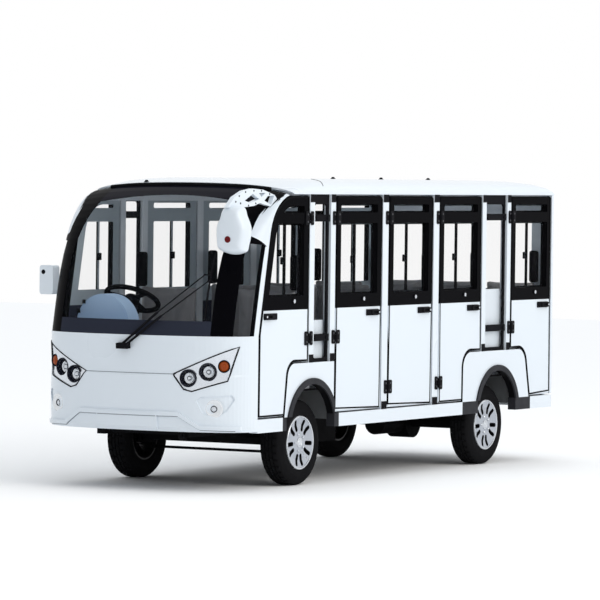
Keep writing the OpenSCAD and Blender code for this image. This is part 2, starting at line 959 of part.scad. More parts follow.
module floor_pan() {
    color(GREY)
        difference() {
            union() {
                translate([-half_w + sill_d, st(floor_front_s), floor_z - floor_t])
                    cube([body_w - 2 * sill_d, s_rear - floor_front_s, floor_t]);
                intersection() {
                    wheel_boxes(box_t);
                    translate([-half_w, -body_l, floor_z - floor_t])
                        cube([body_w, 2 * body_l, 1000]);
                }
            }
            wheel_boxes(0);
            for (side = [-1, 1])
                mirror([side < 0 ? 1 : 0, 0, 0])
                    translate([half_w - sill_d, -body_l, floor_z - floor_t - 1])
                        cube([sill_d, 2 * body_l, sill_top - floor_z + floor_t + 1]);
        }
}

// cross members: station
CROSS = [s_d1 - 125, s_axle_f - 280, s_axle_f + 420, s_d3 + 194, s_d4 + 265, s_axle_r + 570];
cross_l = 50;
cross_up = 10;
rail_front_s = 200;
rail_rear_set = 100;
rail_top_z = floor_z - floor_t;

module chassis_frame() {
    color(DARK)
        union() {
            for (side = [-1, 1])
                mirror([side < 0 ? 1 : 0, 0, 0]) {
                    translate([rail_in_x, st(rail_front_s), rail_low_z])
                        cube([rail_out_x - rail_in_x, body_l - rail_front_s - rail_rear_set, rail_top_z - rail_low_z]);
                    for (s = [s_axle_f + 480, s_axle_r - 470])
                        translate([tow_x - jack_w / 2, st(s) - jack_l / 2, rail_low_z - jack_t])
                            cube([jack_w, jack_l, jack_t + 1]);
                }
            for (s = CROSS)
                translate([-rail_in_x, st(s), rail_low_z + cross_up])
                    cube([2 * rail_in_x, cross_l, rail_top_z - rail_low_z - cross_up]);
            tow_plate(st(rail_front_s - 70), st(rail_front_s + 15), 1);
            tow_plate(st(body_l - 20), st(body_l - rail_rear_set - 10), -1);
        }
}

// jack pads under the rails
jack_w = 52;
jack_l = 120;
jack_t = 8;

// tow eyes
tow_x = (rail_in_x + rail_out_x) / 2;
tow_z = rail_low_z + 20;
tow_r = 34;
tow_gap = 4;

// tow eye plate on the end of the left rail
module tow_plate(y_end, y_root, dir) {
    y_eye = y_end + dir * tow_r;
    difference() {
        union() {
            translate([tow_x - tow_plate_t / 2, min(y_eye, y_root), tow_z - tow_r])
                cube([tow_plate_t, abs(y_root - y_eye), 2 * tow_r]);
            translate([tow_x - tow_plate_t / 2, y_eye, tow_z])
                rotate([0, 90, 0])
                    cylinder(r = tow_r, h = tow_plate_t);
        }
        translate([tow_x - tow_plate_t, y_eye, tow_z])
            rotate([0, 90, 0])
                cylinder(r = tow_hole_r, h = 2 * tow_plate_t);
    }
}

// battery block between the rails
battery_w = 2 * (rail_in_x - 15);
battery_l = 660;
battery_low_z = 225;

module battery_pack() {
    color(DARK)
        translate([-battery_w / 2, st(s_axle_f + 520), battery_low_z])
            cube([battery_w, battery_l, rail_top_z - battery_low_z]);
}

// leaf spring pack under one rail, with its hangers
spring_half_l = 330;
spring_w = 50;
spring_step = 90;
leaf_t = 9;

module leaf_spring(y_mid, z_low) {
    x_in = tow_x - spring_w / 2;
    for (i = [0 : 2])
        translate([x_in, y_mid - spring_half_l + i * spring_step, z_low + (2 - i) * leaf_t])
            cube([spring_w, 2 * (spring_half_l - i * spring_step), leaf_t]);
    for (y = [y_mid - spring_half_l, y_mid + spring_half_l - 20])
        translate([x_in, y, z_low + 3 * leaf_t])
            cube([spring_w, 20, rail_low_z - z_low - 3 * leaf_t]);
}

eye_r = 28;
eye_half_h = 28;

module front_axle() {
    color(DARK)
        for (side = [-1, 1])
            mirror([side < 0 ? 1 : 0, 0, 0])
                difference() {
                    union() {
                        translate([0, st(s_axle_f) - 25, hub_z - 25])
                            cube([pivot_x, 50, 50]);
                        translate([pivot_x, st(s_axle_f), hub_z - eye_half_h])
                            cylinder(r = eye_r, h = 2 * eye_half_h);
                        leaf_spring(st(s_axle_f), hub_z + 25);
                    }
                    translate([pivot_x, st(s_axle_f), hub_z - 100])
                        cylinder(r = kingpin_r + kingpin_play, h = 200);
                }
}

// steered stub axle of one side with its track arm
module knuckle(side) {
    lug_h = 16;
    lug_gap = 1;
    z_lug = eye_half_h + lug_gap;
    y_axle = st(s_axle_f);
    mirror([side < 0 ? 1 : 0, 0, 0]) {
        for (z = [hub_z - z_lug - lug_h, hub_z + z_lug]) {
            translate([pivot_x, y_axle, z])
                cylinder(r = 25, h = lug_h);
            translate([pivot_x, y_axle - 25, z])
                cube([48, 50, lug_h]);
        }
        translate([pivot_x, y_axle, hub_z - z_lug - lug_h])
            cylinder(r = kingpin_r, h = 2 * (z_lug + lug_h));
        translate([pivot_x + 34, y_axle - 25, hub_z - z_lug - lug_h])
            cube([14, 50, 2 * (z_lug + lug_h)]);
        translate([pivot_x + 40, y_axle, hub_z])
            rotate([0, 90, 0])
                cylinder(r = spindle_r, h = wheel_x - pivot_x - 40 + hub_depth);
        translate([arm_x - 12, y_axle, hub_z - z_lug - lug_h])
            cube([24, arm_l, lug_h]);
        translate([arm_x, y_axle + arm_l, hub_z - z_lug - lug_h])
            cylinder(r = 14, h = lug_h);
        translate([arm_x, y_axle + arm_l, tie_z - 30])
            cylinder(r = 8, h = hub_z - z_lug - tie_z + 30);
    }
}

module tie_rod() {
    y_tie = st(s_axle_f) + arm_l;
    z_tie = tie_z - 22;
    color(DARK)
        difference() {
            union() {
                translate([-arm_x, y_tie, z_tie])
                    rotate([0, 90, 0])
                        cylinder(r = 9, h = 2 * arm_x);
                for (x = [-arm_x, arm_x])
                    translate([x, y_tie, z_tie - 11])
                        cylinder(r = 17, h = 22);
            }
            for (x = [-arm_x, arm_x])
                translate([x, y_tie, z_tie - 40])
                    cylinder(r = 8 + pin_play, h = 80);
        }
}

module rear_axle() {
    color(DARK) {
        translate([-wheel_x + 60, st(s_axle_r), hub_z])
            rotate([0, 90, 0])
                cylinder(r = 38, h = 2 * wheel_x - 120);
        translate([-wheel_x - 10, st(s_axle_r), hub_z])
            rotate([0, 90, 0])
                cylinder(r = spindle_r, h = 2 * wheel_x + 20);
        translate([-85, st(s_axle_r), hub_z])
            rotate([0, 90, 0])
                cylinder(r = 115, h = 170);
        translate([0, st(s_axle_r) - 420, hub_z])
            rotate([-90, 0, 0])
                cylinder(r = 78, h = 360);
        for (side = [-1, 1])
            mirror([side < 0 ? 1 : 0, 0, 0])
                leaf_spring(st(s_axle_r), hub_z + 30);
    }
}

// tyre and wheel, outer face towards +X, hub at the origin
module tyre_body() {
    half = tyre_w / 2;
    rotate([0, 90, 0])
        rotate_extrude($fn = 96)
            polygon([
                [cover_r - 13, -half + 16], [cover_r + 12, -half + 2], [tyre_r - 55, -half],
                [tyre_r - 18, -half + 10], [tyre_r - 4, -half + 26], [tyre_r, -half + 50],
                [tyre_r, half - 50], [tyre_r - 4, half - 26], [tyre_r - 18, half - 10],
                [tyre_r - 55, half], [cover_r + 12, half - 2], [cover_r - 13, half - 16]
            ]);
}

// slots of the wheel cover, in pairs
cover_slots = 5;
slot_turn = 14;
slot_r0 = 76;
slot_r1 = cover_r - 20;
slot_w = 29;
slot_depth = 46;

module wheel_body() {
    half = tyre_w / 2;
    rotate([0, 90, 0])
        difference() {
            rotate_extrude($fn = 96)
                polygon([
                    [spindle_r + spindle_play, -18], [55, -18], [55, 22], [120, 40],
                    [cover_r - 26, 46], [cover_r - 26, -half + 18], [cover_r - 13, -half + 18],
                    [cover_r - 13, half - 16], [cover_r, half - 8], [cover_r - 8, half],
                    [120, half - 12], [60, half - 8], [0, half - 6], [0, hub_depth + 2],
                    [spindle_r + spindle_play, hub_depth + 2]
                ]);
            for (i = [0 : cover_slots - 1])
                for (turn = [-slot_turn, slot_turn])
                    rotate(360 * i / cover_slots + turn)
                        translate([0, 0, half - slot_depth])
                            linear_extrude(slot_depth)
                                rrect(slot_r0, -slot_w / 2, slot_r1, slot_w / 2, slot_w / 2 - 1);
        }
}

module at_wheel(side, s) {
    mirror([side < 0 ? 1 : 0, 0, 0])
        translate([wheel_x, st(s), hub_z])
            children();
}

// dashboard: plan follows the nose at a set distance
dash_set = 62;
dash_a = 78;
dash_step = 6;
dash_rear_s = s_d1 + 45;
dash_low_z = 760;
dash_top_z = cowl_z - 20;
dash_x = (half_w - dash_set) * spow(sin(dash_a), front_n);
driver_x = -half_w / 2;
hood_r = 200;
hood_l = 130;
hood_up = 65;
bulkhead_t = 16;

// steering column: foot of the upper part, lean, wheel's distance from it
column_s = s_d1 + 160;
column_z = cowl_z - 15;
column_lean = 28;
column_r = 32;
column_low = 220;
steer_up = 250;
steer_r = 190;
rim_r = 15;
steer_hub_r = 48;
steer_hub_h = 56;
column_gap = 10;
shaft_r = 12;
shaft_l = 70;

module on_column() {
    translate([driver_x, st(column_s), column_z])
        rotate([-column_lean, 0, 0])
            children();
}

module dashboard() {
    color(GREY)
        difference() {
            union() {
                translate([0, 0, dash_low_z])
                    linear_extrude(dash_top_z - dash_low_z)
                        polygon(concat(
                            [
                                for (a = [-dash_a : dash_step : dash_a])
                                    [
                                        (half_w - dash_set) * spow(sin(a), front_n),
                                        fascia_side_y - (fascia_side_y - front_tip - dash_set) * spow(cos(a), front_n)
                                    ]
                            ],
                            [[dash_x, st(dash_rear_s)], [-dash_x, st(dash_rear_s)]]
                        ));
                intersection() {
                    translate([driver_x, st(dash_rear_s), dash_top_z + hood_up])
                        rotate([90, 0, 0])
                            cylinder(r = hood_r, h = hood_l, $fn = 64);
                    translate([-half_w, st(0), dash_top_z - 1])
                        cube([body_w, s_d2, hood_r + hood_up + 2]);
                }
                translate([-half_w + 100, st(dash_rear_s - bulkhead_t), floor_z])
                    cube([body_w - 200, bulkhead_t, dash_low_z - floor_z]);
                difference() {
                    on_column()
                        translate([0, 0, -column_low])
                            cylinder(r = column_r, h = column_low + steer_up - steer_hub_h + 6 - column_gap);
                    translate([-half_w, st(0), 0])
                        cube([body_w, dash_rear_s, dash_top_z]);
                }
            }
            on_column()
                translate([0, 0, steer_up - steer_hub_h + 6 - shaft_l])
                    cylinder(r = shaft_r + spindle_play, h = shaft_l);
        }
}

module steering_wheel() {
    color(BLACK)
        on_column()
            translate([0, 0, steer_up]) {
                rotate_extrude($fn = 72)
                    translate([steer_r - rim_r, 0])
                        polygon([for (i = [0 : 7]) [rim_r * cos(22.5 + 45 * i), rim_r * sin(22.5 + 45 * i)]]);
                translate([0, 0, 6 - steer_hub_h])
                    cylinder(r = steer_hub_r, h = steer_hub_h);
                translate([0, 0, 6 - steer_hub_h - shaft_l + 4])
                    cylinder(r = shaft_r, h = shaft_l);
                for (t = [90, 210, 330])
                    rotate(t)
                        translate([0, -18, -5])
                            cube([steer_r - 20, 36, 10]);
            }
}

// seat rows
seat_side = 62;
seat_wall = 14;

module seat_bases() {
    color(WHITE)
        difference() {
            for (s = SEAT_ROWS)
                translate([0, st(s), floor_z])
                    difference() {
                        translate([-half_w + seat_side, 0, 0])
                            cube([body_w - 2 * seat_side, seat_base_l, seat_base_h]);
                        translate([-half_w + seat_side + seat_wall, seat_wall, -1])
                            cube([
                                body_w - 2 * (seat_side + seat_wall),
                                seat_base_l - 2 * seat_wall,
                                seat_base_h - seat_wall + 1
                            ]);
                    }
            wheel_boxes(box_t);
        }
}

// seats of one row: x of each seat, its width
function seats_of(i) = i == 0
    ? [[-seat_pitch2 / 2, seat_w2], [seat_pitch2 / 2, seat_w2]]
    : [for (q = [-1, 0, 1]) [q * seat_pitch3, seat_w3]];

// cushion and back of every seat, both standing on the row's base, and posts at the rows' ends
module seat_pads() {
    color(BLACK)
        for (i = [0 : len(SEAT_ROWS) - 1])
            for (q = seats_of(i))
                translate([q[0] - q[1] / 2, st(SEAT_ROWS[i]), floor_z + seat_base_h]) {
                    translate([0, -8, 0])
                        cube([q[1], cushion_l, cushion_t]);
                    translate([0, cushion_l, 0])
                        rotate([90, 0, 90])
                            linear_extrude(q[1])
                                polygon([
                                    [0, 0], [back_t - 10, 0],
                                    [back_t + back_h * tan(back_lean), back_h],
                                    [back_h * tan(back_lean), back_h]
                                ]);
                    if (abs(q[0]) > 1)
                        translate([q[0] > 0 ? q[1] - end_post_w : 0, cushion_l + back_h * tan(back_lean), 0])
                            rotate([90, 0, 90])
                                linear_extrude(end_post_w)
                                    rrect(10, back_h - 2 * end_post_r, 10 + end_post_t, end_post_h, end_post_r);
                }
}

// straight round rod between two points
module rod(p, q, r) {
    d = q - p;
    translate(p)
        rotate([0, acos(d[2] / norm(d)), atan2(d[1], d[0])])
            cylinder(r = r, h = norm(d), $fn = 64);
}

// straight square bar between two points, longer by a lap at both ends
module bar(p, q, side, lap) {
    d = q - p;
    translate(p)
        rotate([0, acos(d[2] / norm(d)), atan2(d[1], d[0])])
            translate([-side / 2, -side / 2, -lap])
                cube([side, side, norm(d) + 2 * lap]);
}

// wiper: foot block, two arms with thick lower halves, upright blade
wiper_x = -20;
wiper_drop = 70;
wiper_block = [84, 36];
wiper_block_out = 42;
wiper_seat = 0.3;
// set of the fascia's top band for each millimetre of drop
brow_slope = FASCIA[len(FASCIA) - 2][f_set] / FASCIA[len(FASCIA) - 2][f_drop];
wiper_foot_out = 26;
wiper_out = 32;
arm_thick_r = 8;
arm_thin_r = 4;
arm_lap = 20;
stub_r = 5.5;
stub_lap = 8;
blade_w = 10;
blade_step = 1;
blade_lap = 1.5;
blade_out = 13;
blade_a = 39;
// arms: foot's x from the block's middle, knee and end as plan angle and height fraction
w_x = 0;
w_knee = 1;
w_end = 2;
WIPER_ARMS = [[-14, [12, 0.155], [35, 0.41]], [18, [14, 0.13], [38, 0.37]]];
BLADE_V = [0.12, 0.29, 0.44, 0.56];

module wiper() {
    blade = [for (v = BLADE_V) front_pt(blade_a, v, -blade_out)];
    color(BLACK) {
        translate([wiper_x, front_tip + wiper_drop * brow_slope - wiper_seat, cowl_z - wiper_drop])
            rotate([atan(brow_slope), 0, 0])
                translate([-wiper_block[0] / 2, -wiper_block_out, -wiper_block[1] / 2])
                    cube([wiper_block[0], wiper_block_out, wiper_block[1]]);
        for (m = WIPER_ARMS) {
            foot = [wiper_x + m[w_x], front_tip - wiper_foot_out, cowl_z - wiper_drop];
            knee = front_pt(m[w_knee][0], m[w_knee][1], -wiper_out);
            end = front_pt(m[w_end][0], m[w_end][1], -wiper_out);
            rod(foot, knee, arm_thick_r);
            tip = front_pt(blade_a, m[w_end][1], -blade_out);
            rod(knee + (foot - knee) / norm(foot - knee) * arm_lap, end, arm_thin_r);
            rod(end + (end - tip) / norm(end - tip) * stub_lap, tip, stub_r);
        }
        for (i = [0 : len(BLADE_V) - 2])
            bar(blade[i], blade[i + 1], blade_w - (i % 2) * blade_step, blade_lap);
    }
}

// left mirror: outline from behind, out from the body side and up from the roof's edge
MIRROR_L = [
    [-80, -85], [-110, -150], [-135, -210], [-132, -310], [-115, -355], [-30, -380],
    [45, -365], [62, -330], [81, -225], [50, -140], [22, -85]
];
mirror_mid = [-28, -235];
mirror_front_s = 35;
mirror_rear_s = 135;
mirror_edge_r = 9;
mirror_round = 0.72;
glass_share = 0.86;
mirror_recess = 8;
mirror_glass_t = 4;

// lattice arm of the left mirror: stations and heights over the roof's edge, with its cut-outs
MIRROR_ARM = [
    [30, -87], [114, -21], [228, 19], [343, 34], [474, 27], [621, -6],
    [650, -30], [632, -55], [593, -83], [432, -58], [360, -76], [201, -87]
];
ARM_HOLES = [
    [[243, -43], [343, 1], [424, -32], [316, -58]],
    [[423, 5], [503, 7], [453, -21]],
    [[533, -13], [615, -10], [578, -69], [490, -43]]
];
arm_set = 65;
arm_t = 30;

// right mirror: box over the front pillar's foot, on a short stay
mirror_r_in = 12;
mirror_r_out = 115;
mirror_r_z = [1226, 1416];
mirror_r_s = [300, 378];
mirror_r_r = 18;
stay_r = 13;

function mirror_pt(p, share) = [
    half_w + mirror_mid[0] + (p[0] - mirror_mid[0]) * share,
    roof_base_z + mirror_mid[1] + (p[1] - mirror_mid[1]) * share
];

// plate with the left mirror's outline between two stations
module mirror_plate(s0, s1, share) {
    translate([0, st(s1), 0])
        rotate([90, 0, 0])
            linear_extrude(s1 - s0)
                polygon([for (p = MIRROR_L) mirror_pt(p, share)]);
}

module right_mirror_box(grow, s0, s1) {
    translate([0, st(s1), 0])
        rotate([90, 0, 0])
            linear_extrude(s1 - s0)
                rrect(-half_w - mirror_r_out - grow, mirror_r_z[0] - grow,
                    -half_w - mirror_r_in + grow, mirror_r_z[1] + grow, mirror_r_r);
}

module mirrors() {
    color(WHITE) {
        difference() {
            hull() {
                mirror_plate(mirror_rear_s - 30, mirror_rear_s, 1);
                for (p = MIRROR_L)
                    let (c = mirror_pt(p, mirror_round))
                    translate([c[0], st(mirror_front_s) + mirror_edge_r, c[1]])
                        sphere(mirror_edge_r, $fn = 16);
            }
            mirror_plate(mirror_rear_s - mirror_recess, mirror_rear_s + 1, glass_share);
        }
        difference() {
            on_side(1, half_w - arm_set, half_w - arm_set + arm_t)
                difference() {
                    polygon([for (p = MIRROR_ARM) [st(p[0]), roof_base_z + p[1]]]);
                    for (h = ARM_HOLES)
                        polygon([for (p = h) [st(p[0]), roof_base_z + p[1]]]);
                }
            front_cheek(4 * pillar_t);
            mirror_plate(mirror_front_s, mirror_rear_s + 1, glass_share);
        }
        difference() {
            right_mirror_box(0, mirror_r_s[0], mirror_r_s[1]);
            right_mirror_box(-mirror_recess, mirror_r_s[1] - mirror_recess, mirror_r_s[1] + 1);
        }
    }
}

module mirror_stay() {
    y_foot = d1_edge(mirror_r_z[0], door_gap) - 19;
    color(BLACK)
        difference() {
            rod([-half_w + pillar_t / 4, y_foot, mirror_r_z[0] + 14],
                [-half_w - mirror_r_in - 30, st(mirror_r_s[1] - 30), mirror_r_z[0] + 24], stay_r);
            front_pillar(-1);
            right_mirror_box(0, mirror_r_s[0], mirror_r_s[1]);
        }
}

module mirror_glass() {
    color(SILVER) {
        mirror_plate(mirror_rear_s - mirror_recess, mirror_rear_s - mirror_recess + mirror_glass_t, glass_share - 0.02);
        right_mirror_box(-mirror_recess - 1, mirror_r_s[1] - mirror_recess, mirror_r_s[1] - mirror_recess + mirror_glass_t);
    }
}

module door_l1() { color(WHITE) door(1, 0); }
module door_l2() { color(WHITE) door(1, 1); }
module door_l3() { color(WHITE) door(1, 2); }
module door_l4() { color(WHITE) door(1, 3); }
module door_l5() { color(WHITE) door(1, 4); }
module door_r1() { color(WHITE) door(-1, 0); }
module door_r2() { color(WHITE) door(-1, 1); }
module door_r3() { color(WHITE) door(-1, 2); }
module door_r4() { color(WHITE) door(-1, 3); }
module door_r5() { color(WHITE) door(-1, 4); }
module glass_l1() { color(GLASS) door_glass(1, 0); }
module glass_l2() { color(GLASS) door_glass(1, 1); }
module glass_l3() { color(GLASS) door_glass(1, 2); }
module glass_l4() { color(GLASS) door_glass(1, 3); }
module glass_l5() { color(GLASS) door_glass(1, 4); }
module glass_r1() { color(GLASS) door_glass(-1, 0); }
module glass_r2() { color(GLASS) door_glass(-1, 1); }
module glass_r3() { color(GLASS) door_glass(-1, 2); }
module glass_r4() { color(GLASS) door_glass(-1, 3); }
module glass_r5() { color(GLASS) door_glass(-1, 4); }
module tyre_fl() { color(BLACK) at_wheel(1, s_axle_f) tyre_body(); }
module tyre_fr() { color(BLACK) at_wheel(-1, s_axle_f) tyre_body(); }
module tyre_rl() { color(BLACK) at_wheel(1, s_axle_r) tyre_body(); }
module tyre_rr() { color(BLACK) at_wheel(-1, s_axle_r) tyre_body(); }
module wheel_fl() { color(SILVER) at_wheel(1, s_axle_f) wheel_body(); }
module wheel_fr() { color(SILVER) at_wheel(-1, s_axle_f) wheel_body(); }
module wheel_rl() { color(SILVER) at_wheel(1, s_axle_r) wheel_body(); }
module wheel_rr() { color(SILVER) at_wheel(-1, s_axle_r) wheel_body(); }
module knuckle_l() { color(DARK) knuckle(1); }
module knuckle_r() { color(DARK) knuckle(-1); }

front_fascia();
headlamps();
lamp_lenses();
windscreen();
front_pillars();
fixed_glass();
roof();
side_posts();
hinge_leaves();
arch_panels();
arch_flares();
sills();
rear_wall();
tail_lamps();
rear_bumper();
floor_pan();
chassis_frame();
battery_pack();
front_axle();
rear_axle();
dashboard();
seat_bases();
seat_pads();
wiper();
mirrors();
mirror_stay();
mirror_glass();
door_l1();
door_l2();
door_l3();
door_l4();
door_l5();
door_r1();
door_r2();
door_r3();
door_r4();
door_r5();
glass_l1();
glass_l2();
glass_l3();
glass_l4();
glass_l5();
glass_r1();
glass_r2();
glass_r3();
glass_r4();
glass_r5();
tyre_fl();
tyre_fr();
tyre_rl();
tyre_rr();
wheel_fl();
wheel_fr();
wheel_rl();
wheel_rr();
knuckle_l();
knuckle_r();
tie_rod();
steering_wheel();
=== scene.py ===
# %% [markdown]
# # A small sightseeing bus, dressed for a studio picture
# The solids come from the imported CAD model, and Blender adds what the solids leave out: finishes,
# seat covers, tyre tread, lamps and rubber trim. Everything is in metres, with the nose towards -Y,
# the bus's own left side at +X and the ground at z = 0.

# %% Load the frame
import math

import bmesh
import bpy
from mathutils import Matrix, Vector
from mathutils.bvhtree import BVHTree


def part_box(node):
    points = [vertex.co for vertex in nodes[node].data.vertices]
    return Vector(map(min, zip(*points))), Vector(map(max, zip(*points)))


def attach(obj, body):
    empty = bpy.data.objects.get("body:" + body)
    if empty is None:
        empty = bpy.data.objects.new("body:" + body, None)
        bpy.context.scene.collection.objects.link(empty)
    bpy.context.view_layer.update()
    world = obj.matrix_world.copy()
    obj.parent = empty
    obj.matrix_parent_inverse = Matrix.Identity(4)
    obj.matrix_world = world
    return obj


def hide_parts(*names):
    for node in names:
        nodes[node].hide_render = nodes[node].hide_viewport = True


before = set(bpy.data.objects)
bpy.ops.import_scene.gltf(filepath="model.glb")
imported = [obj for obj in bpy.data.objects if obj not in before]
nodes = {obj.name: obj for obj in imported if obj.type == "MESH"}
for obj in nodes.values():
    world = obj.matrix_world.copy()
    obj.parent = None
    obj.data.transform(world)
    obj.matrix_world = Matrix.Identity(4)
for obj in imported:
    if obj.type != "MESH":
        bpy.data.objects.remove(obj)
scene = bpy.context.scene
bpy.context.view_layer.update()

# %% [markdown]
# ## Sizes that the dressing needs
# A few sizes of the body drive the finishes and the trim. They are read from the frame where a node
# shows them, so a change in the solids carries over. Other values are named where they are needed.

# %% Driving sizes
HALF_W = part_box("sills")[1][0]
COWL_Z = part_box("windscreen")[0][2]
print("half width", HALF_W, "cowl", COWL_Z)

# %% [markdown]
# ## Camera
# The photograph was taken from far away with a long lens. Its viewing angles were fitted to the
# door edges, so the camera is given as an orbit: azimuth, pitch, roll and distance round a target.

# %% Camera
CAM_AZIMUTH = math.radians(29.6066)
CAM_PITCH = math.radians(1.6648)
CAM_ROLL = math.radians(0.696)
CAM_DISTANCE = 29.242
CAM_TARGET = Vector((0, -0.0783, 1.1715))
CAM_CLIP = 200
SENSOR_MM = 36
FOCAL_PX = 4285.1
PICTURE_PX = 600


def linked(name, data):
    """New object in the scene."""
    thing = bpy.data.objects.new(name, data)
    scene.collection.objects.link(thing)
    return thing


camera = linked("camera", bpy.data.cameras.new("camera"))
camera.data.sensor_width = SENSOR_MM
camera.data.lens = SENSOR_MM * (FOCAL_PX / PICTURE_PX)
camera.data.clip_end = CAM_CLIP
camera.matrix_world = (
    Matrix.Translation(CAM_TARGET)
    @ Matrix.Rotation(CAM_AZIMUTH, 4, "Z") @ Matrix.Rotation(math.pi / 2 - CAM_PITCH, 4, "X")
    @ Matrix.Rotation(CAM_ROLL, 4, "Z") @ Matrix.Translation((0, 0, CAM_DISTANCE))
)
scene.camera = camera
print("lens", round(camera.data.lens, 1), "mm at", [round(c, 2) for c in camera.location])

# %% [markdown]
# ## Node trees
# Materials and the world are trees of shader nodes. These helpers make a node and feed its inputs
# in one call, so that a finish further down reads like a list of its properties.

# %% Node helpers
def dial(tree, node, settings):
    """Feeds a node's inputs: an output is linked, a number or a colour is written."""
    for key, value in settings.items():
        if isinstance(value, bpy.types.NodeSocket):
            tree.links.new(value, node.inputs[key])
        else:
            node.inputs[key].default_value = (*value, 1) if isinstance(value, tuple) else value


def add_node(tree, kind, settings, **options):
    """New shader node with its options set and its inputs fed."""
    node = tree.nodes.new("ShaderNode" + kind)
    for option, value in options.items():
        setattr(node, option, value)
    dial(tree, node, settings)
    return node


def maths(tree, operation, *values):
    """Output of a Math node, with outputs or numbers as its inputs."""
    return add_node(tree, "Math", dict(enumerate(values)), operation=operation).outputs[0]


def new_material(name):
    """Material, its node tree and its Principled shader."""
    material = bpy.data.materials.new(name)
    material.use_nodes = True
    return material, material.node_tree, material.node_tree.nodes["Principled BSDF"]

# %% [markdown]
# ## Studio
# A white floor under soft light. The world is one wide softbox that leans to the back and to the
# door side, so the nose falls into a cool half shade and its creases show. One large area lamp
# lifts the door side. Behind the bus, in reflections and through glass the world is plain white.

# %% Floor
FLOOR_SIZE = 60
FLOOR_WHITE = (0.98, 0.98, 0.98)
FLOOR_ROUGH = 0.9
scene.view_settings.view_transform = "Standard"


def mesh_of(name, bm):
    """Mesh from a bmesh, which is freed."""
    mesh = bpy.data.meshes.new(name)
    bm.to_mesh(mesh)
    bm.free()
    return mesh


bm = bmesh.new()
bmesh.ops.create_grid(bm, x_segments=1, y_segments=1, size=FLOOR_SIZE / 2)
floor = linked("floor", mesh_of("floor", bm))
floor_white, tree, shader = new_material("floor_white")
dial(tree, shader, {"Base Color": FLOOR_WHITE, "Roughness": FLOOR_ROUGH, "Specular IOR Level": 0})
floor.data.materials.append(floor_white)
print("floor", FLOOR_SIZE, "m")

# %% World and lamp
SOFTBOX_LEAN = Vector((0.20, 0.42, 0.88))
SOFTBOX_EVEN = 0.57
SOFTBOX_RISE = 0.75
SOFTBOX_COLOUR = (0.95, 0.975, 1.0)
KEY_SIZE = 7
KEY_WATTS = 415
KEY_COLOUR = (1.0, 0.945, 0.87)
KEY_PLACE = Vector((11.0, -2.0, 7.0))
KEY_AIM = Vector((0.4, 0, 1.0))

scene.world = bpy.data.worlds.new("studio")
scene.world.use_nodes = True
tree = scene.world.node_tree
coords = tree.nodes.new("ShaderNodeTexCoord")
lean = add_node(tree, "VectorMath", {0: coords.outputs["Generated"], 1: SOFTBOX_LEAN},
                operation="DOT_PRODUCT")
rise = maths(tree, "MULTIPLY_ADD", lean.outputs["Value"], SOFTBOX_RISE, SOFTBOX_EVEN)
fill = tree.nodes["Background"]
dial(tree, fill, {"Color": SOFTBOX_COLOUR, "Strength": rise})
white = add_node(tree, "Background", {"Color": (1, 1, 1), "Strength": 1})
path = tree.nodes.new("ShaderNodeLightPath")
seen = path.outputs["Is Camera Ray"]
for kind in ("Is Glossy Ray", "Is Transmission Ray"):
    seen = maths(tree, "MAXIMUM", seen, path.outputs[kind])
mix = add_node(tree, "MixShader", {0: seen, 1: fill.outputs[0], 2: white.outputs[0]})
dial(tree, tree.nodes["World Output"], {0: mix.outputs[0]})

lamp = bpy.data.lights.new("key", "AREA")
lamp.shape = "SQUARE"
lamp.size = KEY_SIZE
lamp.energy = KEY_WATTS
lamp.color = KEY_COLOUR
key_lamp = linked("key", lamp)
key_lamp.location = KEY_PLACE
key_lamp.rotation_euler = (KEY_AIM - KEY_PLACE).to_track_quat("-Z", "Y").to_euler()
print("softbox world, key lamp", KEY_WATTS, "W")

# %% [markdown]
# ## Plain finishes
# Each finish is one Principled shader. Noises on Object coordinates let its colour and roughness
# drift a little, because a surface with one flat value looks like plastic wrap. Rubber, leather and
# rough paint also get a fine grain as a bump.

# %% Finish helpers
NOISE_DETAIL = 3
NOISE_SPAN = (0.3, 0.7)
ROUGH_DRIFT = 0.15
COAT_ROUGH = 0.05
PAINT_SHINE = 0.5


def link_noise(tree, scale):
    """Output of a noise texture on Object coordinates."""
    coords = tree.nodes.new("ShaderNodeTexCoord")
    settings = {"Vector": coords.outputs["Object"], "Scale": scale, "Detail": NOISE_DETAIL}
    return add_node(tree, "TexNoise", settings).outputs[0]


def vary(tree, noise, low, high):
    """Number that a noise moves between two values."""
    start, end = NOISE_SPAN
    settings = {"Value": noise, "From Min": start, "From Max": end, "To Min": low, "To Max": high}
    return add_node(tree, "MapRange", settings).outputs[0]


def blend(tree, factor, a, b):
    """Colour a where the factor is 0 and colour b where it is 1."""
    settings = {"Factor": factor, "A": a, "B": b}
    return add_node(tree, "Mix", settings, data_type="RGBA").outputs["Result"]


def finish(name, dark, light, rough, metal=0.0, coat=0.0, shine=PAINT_SHINE, patch=9.0,
           grain=0, depth=0.0):
    """Finish with a drifting colour, an uneven roughness and, if asked, a grain in the surface."""
    material, tree, shader = new_material(name)
    low, high = rough * (1 - ROUGH_DRIFT), rough * (1 + ROUGH_DRIFT)
    dial(tree, shader, {
        "Base Color": blend(tree, link_noise(tree, patch / 3), dark, light),
        "Roughness": vary(tree, link_noise(tree, patch), low, high),
        "Metallic": metal,
        "Specular IOR Level": shine,
        "Coat Weight": coat,
        "Coat Roughness": COAT_ROUGH,
    })
    if grain:
        bump = add_node(tree, "Bump", {
            "Strength": 1, "Distance": depth, "Height": link_noise(tree, grain),
        })
        dial(tree, shader, {"Normal": bump.outputs[0]})
    return material


